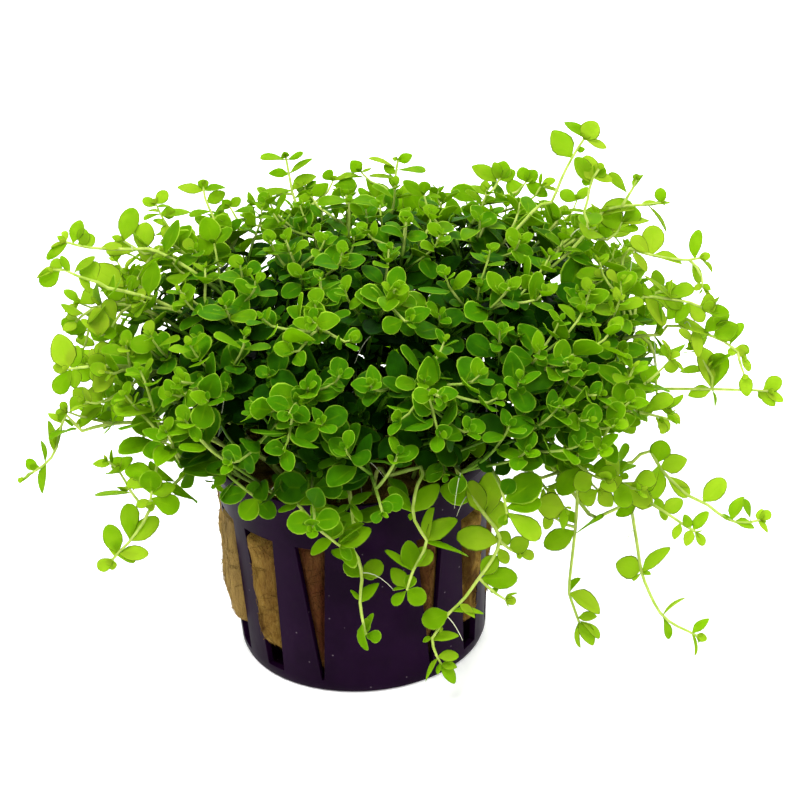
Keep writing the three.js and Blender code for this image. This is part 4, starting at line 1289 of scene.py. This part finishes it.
bud = bmesh.new()
bmesh.ops.create_uvsphere(bud, u_segments=LEAF_SIDES, v_segments=LEAF_RINGS, radius=1.0)
bud.verts.ensure_lookup_table()
ball = np.array([v.co for v in bud.verts])
leaf_faces = [[v.index for v in face.verts] for face in bud.faces]
bud.free()
leaf_ring = np.degrees(np.arccos(np.clip(ball[:, 2], -1, 1))) / (180 / LEAF_RINGS)
leaf_ring = np.round(leaf_ring).astype(int)
leaf_along = (1 - ball[:, 2]) / 2
ring_width = np.maximum(np.sqrt(np.maximum(0, 1 - ball[:, 2] ** 2)), 1e-6)
leaf_across = ball[:, 0] / ring_width * (ring_width > 1e-3)
is_edge = np.abs(np.abs(leaf_across) - 1) < 1e-3
leaf_across = np.sign(leaf_across) * np.minimum(1, np.abs(leaf_across) * MARGIN_SPREAD)
leaf_across[is_edge] = np.sign(leaf_across[is_edge])
leaf_up = ball[:, 1]
leaf_uv = np.stack([0.5 + 0.5 * leaf_across, leaf_along], axis=1)


def painted_lightness(point):
    """How light the plant is painted at a place: painted shade deep inside the mound, painted light
    at its sides, top and back, and low down.
    """
    place = ((point - MOUND_CENTRE) / MOUND_RADII).T
    # Painted shade: darker deep inside the mound, less so low down. Painted light: lighter at the
    # mound's sides, top, back, and low down, most on its right.
    deep = soft_step(1 - np.sqrt((place**2).sum(axis=0)), 0.02, 0.30)
    deep = deep * soft_step(place[2], -0.6, 0.0)
    aside = soft_step(np.abs(place[0]), 0.35, 1.0)
    above = soft_step(place[2], 0.3, 0.95)
    behind = soft_step(place[1], 0.2, 0.9)
    low = soft_step(-place[2], 0.1, 0.6) * (0.14 + 0.34 * soft_step(place[0], -0.3, 0.3))
    light = PLAIN_LIGHT + SIDE_LIGHT * aside + TOP_LIGHT * above + BACK_LIGHT * behind + low
    return np.minimum(light, MOST_LIGHT) * (1 - (DEEP_SHADE - 0.2 * above) * deep)


class Leaf:
    """One leaf: where it starts, which way it points and faces, how long it is and how light it is
    painted.
    """

    def __init__(self, foot, axis, face, span, age, seed, is_seen=False):
        self.foot = foot
        self.is_seen = is_seen
        self.span = span
        self.age = age
        self.seed = seed
        self.kind = int(varied(seed, 11, 0, len(LEAF_OUTLINES)))
        self.breadth = LEAF_BREADTHS[self.kind] * varied(seed, 12, 0.9, 1.1)
        self.roll = varied(seed, 17, -0.35, 0.35)
        self.point_along(axis, face)

    def point_along(self, axis, face):
        self.axis = unit(axis)
        self.face = unit(face - self.axis * np.dot(face, self.axis))
        self.middle = self.foot + self.axis * self.span * LEAF_MIDDLE

    def tone(self):
        """How light the leaf is painted: the painted light and shade at its place, darker with age,
        and varied by chance.
        """
        tone = painted_lightness(self.middle) - AGE_SHADE * self.age
        return min(LIGHTEST, max(0.0, tone + varied(self.seed, 18, -0.14, 0.14)))

    def points(self):
        """The leaf's corners: a flat bud drawn to its outline, cupped, curled and waved."""
        n = self.seed
        outline = np.array((0.0, *LEAF_OUTLINES[self.kind], 0.0))
        width = self.span * self.breadth / 2 * outline[leaf_ring]
        cup = 0.05 + 0.4 * varied(n, 13) ** 1.5
        curl = varied(n, 14, -0.1, 0.22)
        wave = varied(n, 15, -0.05, 0.05) * self.span
        across = leaf_across * width
        along = leaf_along * self.span
        lift = cup * np.abs(across) - curl * leaf_along**2 * self.span
        lift = lift + wave * leaf_across * np.sin(leaf_along * 5 + varied(n, 16, 0, 6))
        lift = lift + leaf_up * LEAF_THICKNESS * (0.6 + 0.4 * self.span / 6) / 2
        wide = np.cross(self.axis, self.face)
        face = self.face * math.cos(self.roll) + wide * math.sin(self.roll)
        wide = np.cross(self.axis, face)
        place = np.outer(along, self.axis) + np.outer(across, wide) + np.outer(lift, face)
        return self.foot + place


def clear_of_pot(leaf):
    """Turns a leaf that would pass through the pot along its wall, and says if it is clear."""
    for _ in range(3):
        ends = [leaf.foot + leaf.axis * leaf.span * share for share in (0.5, 1.0)]
        deepest = min(math.hypot(p[0], p[1]) - RIM_RADIUS - LEAF_CLEARANCE for p in ends)
        if deepest > 0 or min(p[2] for p in ends) > POT_HEIGHT + LEAF_CLEARANCE:
            return True
        outwards = unit(np.array((leaf.foot[0], leaf.foot[1], 0.0)))
        leaf.point_along(leaf.axis + outwards * (0.25 - deepest / leaf.span), leaf.face)
    return math.hypot(leaf.foot[0], leaf.foot[1]) < RIM_RADIUS and leaf.foot[2] > WOOL_TOP


def twist(seed):
    """How far the pairs on a stem are turned round it."""
    return varied(seed, 58, 0, 2 * math.pi / 3)


def small_pair(foot, out, along, size, seed, k, half):
    """Two small leaves that open in the angle between leaf k of a stem and the stem."""
    found = []
    for turn in (-1, 1):
        axis = unit(out * 0.7 + along * 0.9 + np.cross(out, along) * turn * 0.8 + UP * 0.2)
        span = varied(seed, 80 + 4 * k + turn, *SMALL_SPANS) * size
        leaf_seed = seed * 37 + k * 4 + half + turn
        found.append(Leaf(foot + unit(out + along) * 0.7, axis, along, span, -1, leaf_seed))
    return found


def leaves_of(stem, seed, size, shortest):
    """All leaves on one stem from its tip down, or from where its leaves aren't seen singly."""
    found = []
    for k, from_tip in enumerate(NODES):
        from_tip = from_tip * size
        if from_tip > stem.length - shortest:
            break
        is_lost = k >= LOST_FROM_PAIR and varied(seed, 40 + k) < LOST_SHARE
        if is_lost or from_tip < stem.seen_run:
            continue
        along = stem.axes(from_tip)[0]
        foot = stem.at(from_tip)
        is_hanging = along[2] < -0.3
        light = along + UP * (-0.8 if is_hanging else 0.8)
        for half in (0, 1):
            turn = twist(seed) + math.radians(60 + 90 * k) + math.pi * half
            turn += varied(seed, 3 * k + half, -0.25, 0.25)
            out = stem.round(from_tip, turn)
            rise = math.radians(LEAF_RISES[k] + varied(seed, 5 * k + half, -8, 8))
            axis = out * math.cos(rise) + along * math.sin(rise)
            axis = axis - UP * axis[2] * 0.45 + UP * 0.18
            span = LEAF_SPANS[k] * size * varied(seed, 7 * k + half, 0.84, 1.18)
            start = foot + out * stem.radius * 0.6
            found.append(Leaf(start, axis, light, span, k, seed * 31 + k * 2 + half))
            if k in SMALL_PAIRS and varied(seed, 60 + 2 * k + half) < SMALL_PAIR_SHARE:
                found += small_pair(foot, out, along, size, seed, k, half)
    return found


def closing_bud(stem, seed, size):
    """The two smallest leaves, closed over the tip of a stem."""
    along = stem.axes(0.3)[0]
    found = []
    for half in (0, 1):
        out = stem.round(0.3, twist(seed) + math.radians(180 * half + 150))
        axis = out * 0.7 + along
        span = BUD_SPAN * size
        found.append(Leaf(stem.at(0.1), axis, along - out, span, -2, seed * 41 + half))
    return found


def seen_leaf(stems, foot_x, foot_y, end_x, end_y, breadth, seed):
    """A leaf that grows from the nearest stem to where it is seen to end."""
    shown = np.concatenate([seen_at(stem.line) for stem in stems])
    lines = np.concatenate([stem.line for stem in stems])
    i = nearest_seen(shown, foot_x, foot_y)
    end = seen_point(end_x, end_y, shown[i, 2] + varied(seed, 19, -1.2, 1.2))
    axis = end - lines[i]
    span = np.linalg.norm(axis)
    leaf = Leaf(lines[i], axis, -seen_ray(end_x, end_y), span, 0, seed, is_seen=True)
    seen = SEEN_WIDER * breadth / math.hypot(end_x - shown[i, 0], end_y - shown[i, 1])
    leaf.breadth = min(1.0, max(seen, SEEN_NARROWEST))
    leaf.roll = math.acos(min(1.0, seen / leaf.breadth)) * (-1 if leaf.axis[0] > 0 else 1)
    return leaf


def seen_leaves(stems, rows, seed):
    return [seen_leaf(stems, *row, seed + i) for i, row in enumerate(rows)]


grown_leaves = []
for number, rows in SEEN_LEAVES.items():
    n = number - 1
    stems = [shoots[n]] + [sprig for owner, sprig in sprigs if owner == n]
    found = seen_leaves(stems, rows, SEEN_SEED + number * SEEDS_APART)
    grown_leaves += [(n, leaf) for leaf in found]
for n, stem in enumerate(shoots):
    found = leaves_of(stem, n, 1.0, SHOOT_FOOT) + closing_bud(stem, n, 1.0)
    grown_leaves += [(n, leaf) for leaf in found]
for i, (n, sprig) in enumerate(sprigs):
    grown_leaves += [(n, leaf) for leaf in closing_bud(sprig, SPRIG_SEED + i, 1.0)]
for i, (n, branch, size, rows) in enumerate(branches):
    found = seen_leaves([branch], rows, CROWN_SEED + i * SEEDS_APART)
    found += leaves_of(branch, BRANCH_SEED + i, size, BRANCH_FOOT)
    found += closing_bud(branch, BRANCH_SEED + i, size)
    grown_leaves += [(n, leaf) for leaf in found]
leaves = []
middles = np.full((len(grown_leaves), 3), np.inf)
for n, leaf in grown_leaves:
    if not clear_of_pot(leaf):
        continue
    if not leaf.is_seen:
        apart = np.linalg.norm(middles - leaf.middle, axis=1).min()
        if leaf.span > SHORT_LEAF and apart < LEAVES_APART:
            continue
        px, py, _ = seen_at(leaf.middle)
        if leaf.middle[1] < FRONT_BEFORE and any(is_in_oval(px, py, *gap) for gap in GAPS):
            continue
    middles[len(leaves)] = leaf.middle
    leaves.append((n, leaf))

# The roots: a few fine white ones grow out of the joints of the stems and hang
# in the air. They are part of the shoot that they grow from.
HAIR_COUNT = 70
HAIRLESS_FOOT = 6.0
HAIR_LENGTHS = (2.0, 6.0)
HAIR_RADII = (0.1, 0.09, 0.08, 0.07, 0.06, 0.04)

hairs = []
for i in range(HAIR_COUNT):
    n = int(varied(i, 31, 0, SHOOT_COUNT))
    from_tip = NODES[int(varied(i, 32, 3, 8))]
    if from_tip > shoots[n].length - HAIRLESS_FOOT:
        continue
    start = shoots[n].at(from_tip)
    out = shoots[n].round(from_tip, varied(i, 33, 0, 2 * math.pi))
    length = varied(i, 34, *HAIR_LENGTHS)
    shares = np.linspace(0, 1, len(HAIR_RADII))
    line = [start + (out * s - UP * s * s * 0.8) * length for s in shares]
    hairs.append((n, (line, HAIR_RADII, ROOT_SLOT)))

paint = Paint("root_white")
pale = paint.mix(paint.grain(paint.place(), 0.8), (0.36, 0.40, 0.22), (0.58, 0.60, 0.42))
root_paint = paint.finished(paint.solid(pale, 0.5, 0.5, {}))

# What a shoot is made of: juicy stems and soft leaves, pale where they are young and in painted
# light at the mound's sides, top and back, dark green in painted shade deep inside it, with a pale
# rib and a margin that turns dark on the most brightly painted leaves. Light comes through both.
# Each shoot is one piece in its solid's place.
STEM_GREENS = (0.30, 0.44, 0.05), (0.52, 0.62, 0.15)
STEM_SHADED = (0.035, 0.100, 0.003)
STEM_GLOW = (0.55, 0.66, 0.20)
# Leaf greens from painted shade, deep inside the mound, to painted light at its sides and top;
# younger leaves also sit higher.
LEAF_GREENS_PAINTED_SHADE_TO_LIGHT = [
    (0.00, (0.002, 0.014, 0.0003)),
    (0.22, (0.010, 0.055, 0.0008)),
    (0.48, (0.042, 0.155, 0.0012)),
    (0.74, (0.140, 0.295, 0.0030)),
    (1.00, (0.360, 0.470, 0.0250)),
]
VEIN_GREEN = (0.22, 0.38, 0.004)
RIB_GREEN = (0.28, 0.44, 0.006)
LEAF_FOOT_GREEN = (0.32, 0.48, 0.01)
MARGINS = (0.30, 0.46, 0.03), (0.045, 0.095, 0.005)
LEAF_GLOW = (0.41, 0.64, 0.022)

paint = Paint("stem_green")
tone = paint.attribute("tone")
streak = paint.grain(paint.place((1.0, 1.0, 0.4)), 0.8)
sap = paint.mix(streak.between(0.3, 0.7), *STEM_GREENS)
# Painted shade: the stems turn dark green where their painted light is low, and let less light
# through there.
sap = paint.mix(1 - tone.between(0.15, 0.75), sap, STEM_SHADED)
flesh = paint.solid(sap, 0.45, 0.02, {})
stem_paint = paint.finished(paint.thin(tone.between(0.2, 0.9) * 0.4, flesh, STEM_GLOW))

paint = Paint("leaf_green")
spot = paint.place()
u, v, _ = paint.parts(paint.node("ShaderNodeUVMap", {"uv_map": "blade"}, {}).outputs[0])
from_rib = (u - 0.5).maths("ABSOLUTE") * 2
tone = paint.attribute("tone")
mottle = paint.grain(spot, 0.45, 4.0)
fine = paint.grain(spot, 2.4, 2.0)
# Each leaf's green is read off the ramp by its painted light, age and chance, with a mottle.
green = paint.ramp(tone + (mottle - 0.5) * 0.34, LEAF_GREENS_PAINTED_SHADE_TO_LIGHT)
rib = (1 - from_rib.between(0.02, 0.10)) * (1 - v.between(0.5, 0.85))
side_veins = (v * 26 + from_rib * 9).maths("SINE").between(0.72, 0.98) * (1 - from_rib)
# The rib, side veins and pale foot show most on leaves in painted light.
painted_lit = tone.between(0.1, 0.6)
green = paint.mix(side_veins * painted_lit * 0.08, green, VEIN_GREEN)
green = paint.mix(rib * painted_lit * 0.28, green, RIB_GREEN)
green = paint.mix((1 - v.between(0.0, 0.2)) * painted_lit * 0.4, green, LEAF_FOOT_GREEN)
rim = from_rib.between(0.84, 0.97).maths("MAXIMUM", v.between(0.94, 0.99))
# The margin is pale on half-lit leaves and dark on those in the strongest painted light, and shows
# most where the painted light is strong.
margin = paint.mix(tone.between(0.62, 0.86), *MARGINS)
green = paint.mix(rim * (painted_lit * 0.5 + tone * 0.4), green, margin)
relief = paint.bump(rib * -0.6 + fine * 0.25 + side_veins * -0.25, 0.12, 0.6)
skin = paint.solid(green, 0.36 + fine * 0.16, 0.008, {"Normal": relief})
# The share of light let through also follows the painted light, and is small at the margin.
light_through = tone.between(-0.1, 0.9) * 0.6 * (1 - rim * 0.9)
leaf_paint = paint.finished(paint.thin(light_through, skin, LEAF_GLOW))

for n, name in enumerate(node_names):
    lines = [shoots[n].tube()]
    lines += [branch.tube() for owner, branch, _, _ in branches if owner == n]
    lines += [sprig.tube() for owner, sprig in sprigs if owner == n]
    lines += [hair for owner, hair in hairs if owner == n]
    stems_mesh = tubes(name, lines, 6)
    verts = [np.array([v.co for v in stems_mesh.vertices])]
    faces = [list(p.vertices) for p in stems_mesh.polygons]
    slots = [p.material_index for p in stems_mesh.polygons]
    uvs = [np.zeros((len(verts[0]), 2))]
    # Painted light: stem points carry the painted light of their place, and leaf points carry their
    # leaf's painted light, age and chance.
    painted_lights_and_ages = [painted_lightness(verts[0] / MM)]
    bpy.data.meshes.remove(stems_mesh)
    for leaf in [leaf for owner, leaf in leaves if owner == n]:
        start = sum(len(part) for part in verts)
        verts.append(leaf.points() * MM)
        faces += [[start + i for i in face] for face in leaf_faces]
        slots += [LEAF_SLOT] * len(leaf_faces)
        uvs.append(leaf_uv)
        painted_lights_and_ages.append(np.full(len(leaf_uv), leaf.tone()))
    mesh = bpy.data.meshes.new(f"{name}_leafy")
    mesh.from_pydata(np.concatenate(verts).tolist(), [], faces)
    mesh.polygons.foreach_set("material_index", slots)
    mesh.polygons.foreach_set("use_smooth", [True] * len(faces))
    corners = np.array([i for face in faces for i in face])
    mesh.uv_layers.new(name="blade").data.foreach_set("uv", np.concatenate(uvs)[corners].ravel())
    mesh.attributes.new("tone", "FLOAT", "POINT").data.foreach_set("value", np.concatenate(painted_lights_and_ages))
    mesh.update()
    for material in (stem_paint, leaf_paint, root_paint):
        mesh.materials.append(material)
    leafy = add_object(f"{name}_leafy", mesh)
    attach(leafy, "root")
    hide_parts(name)
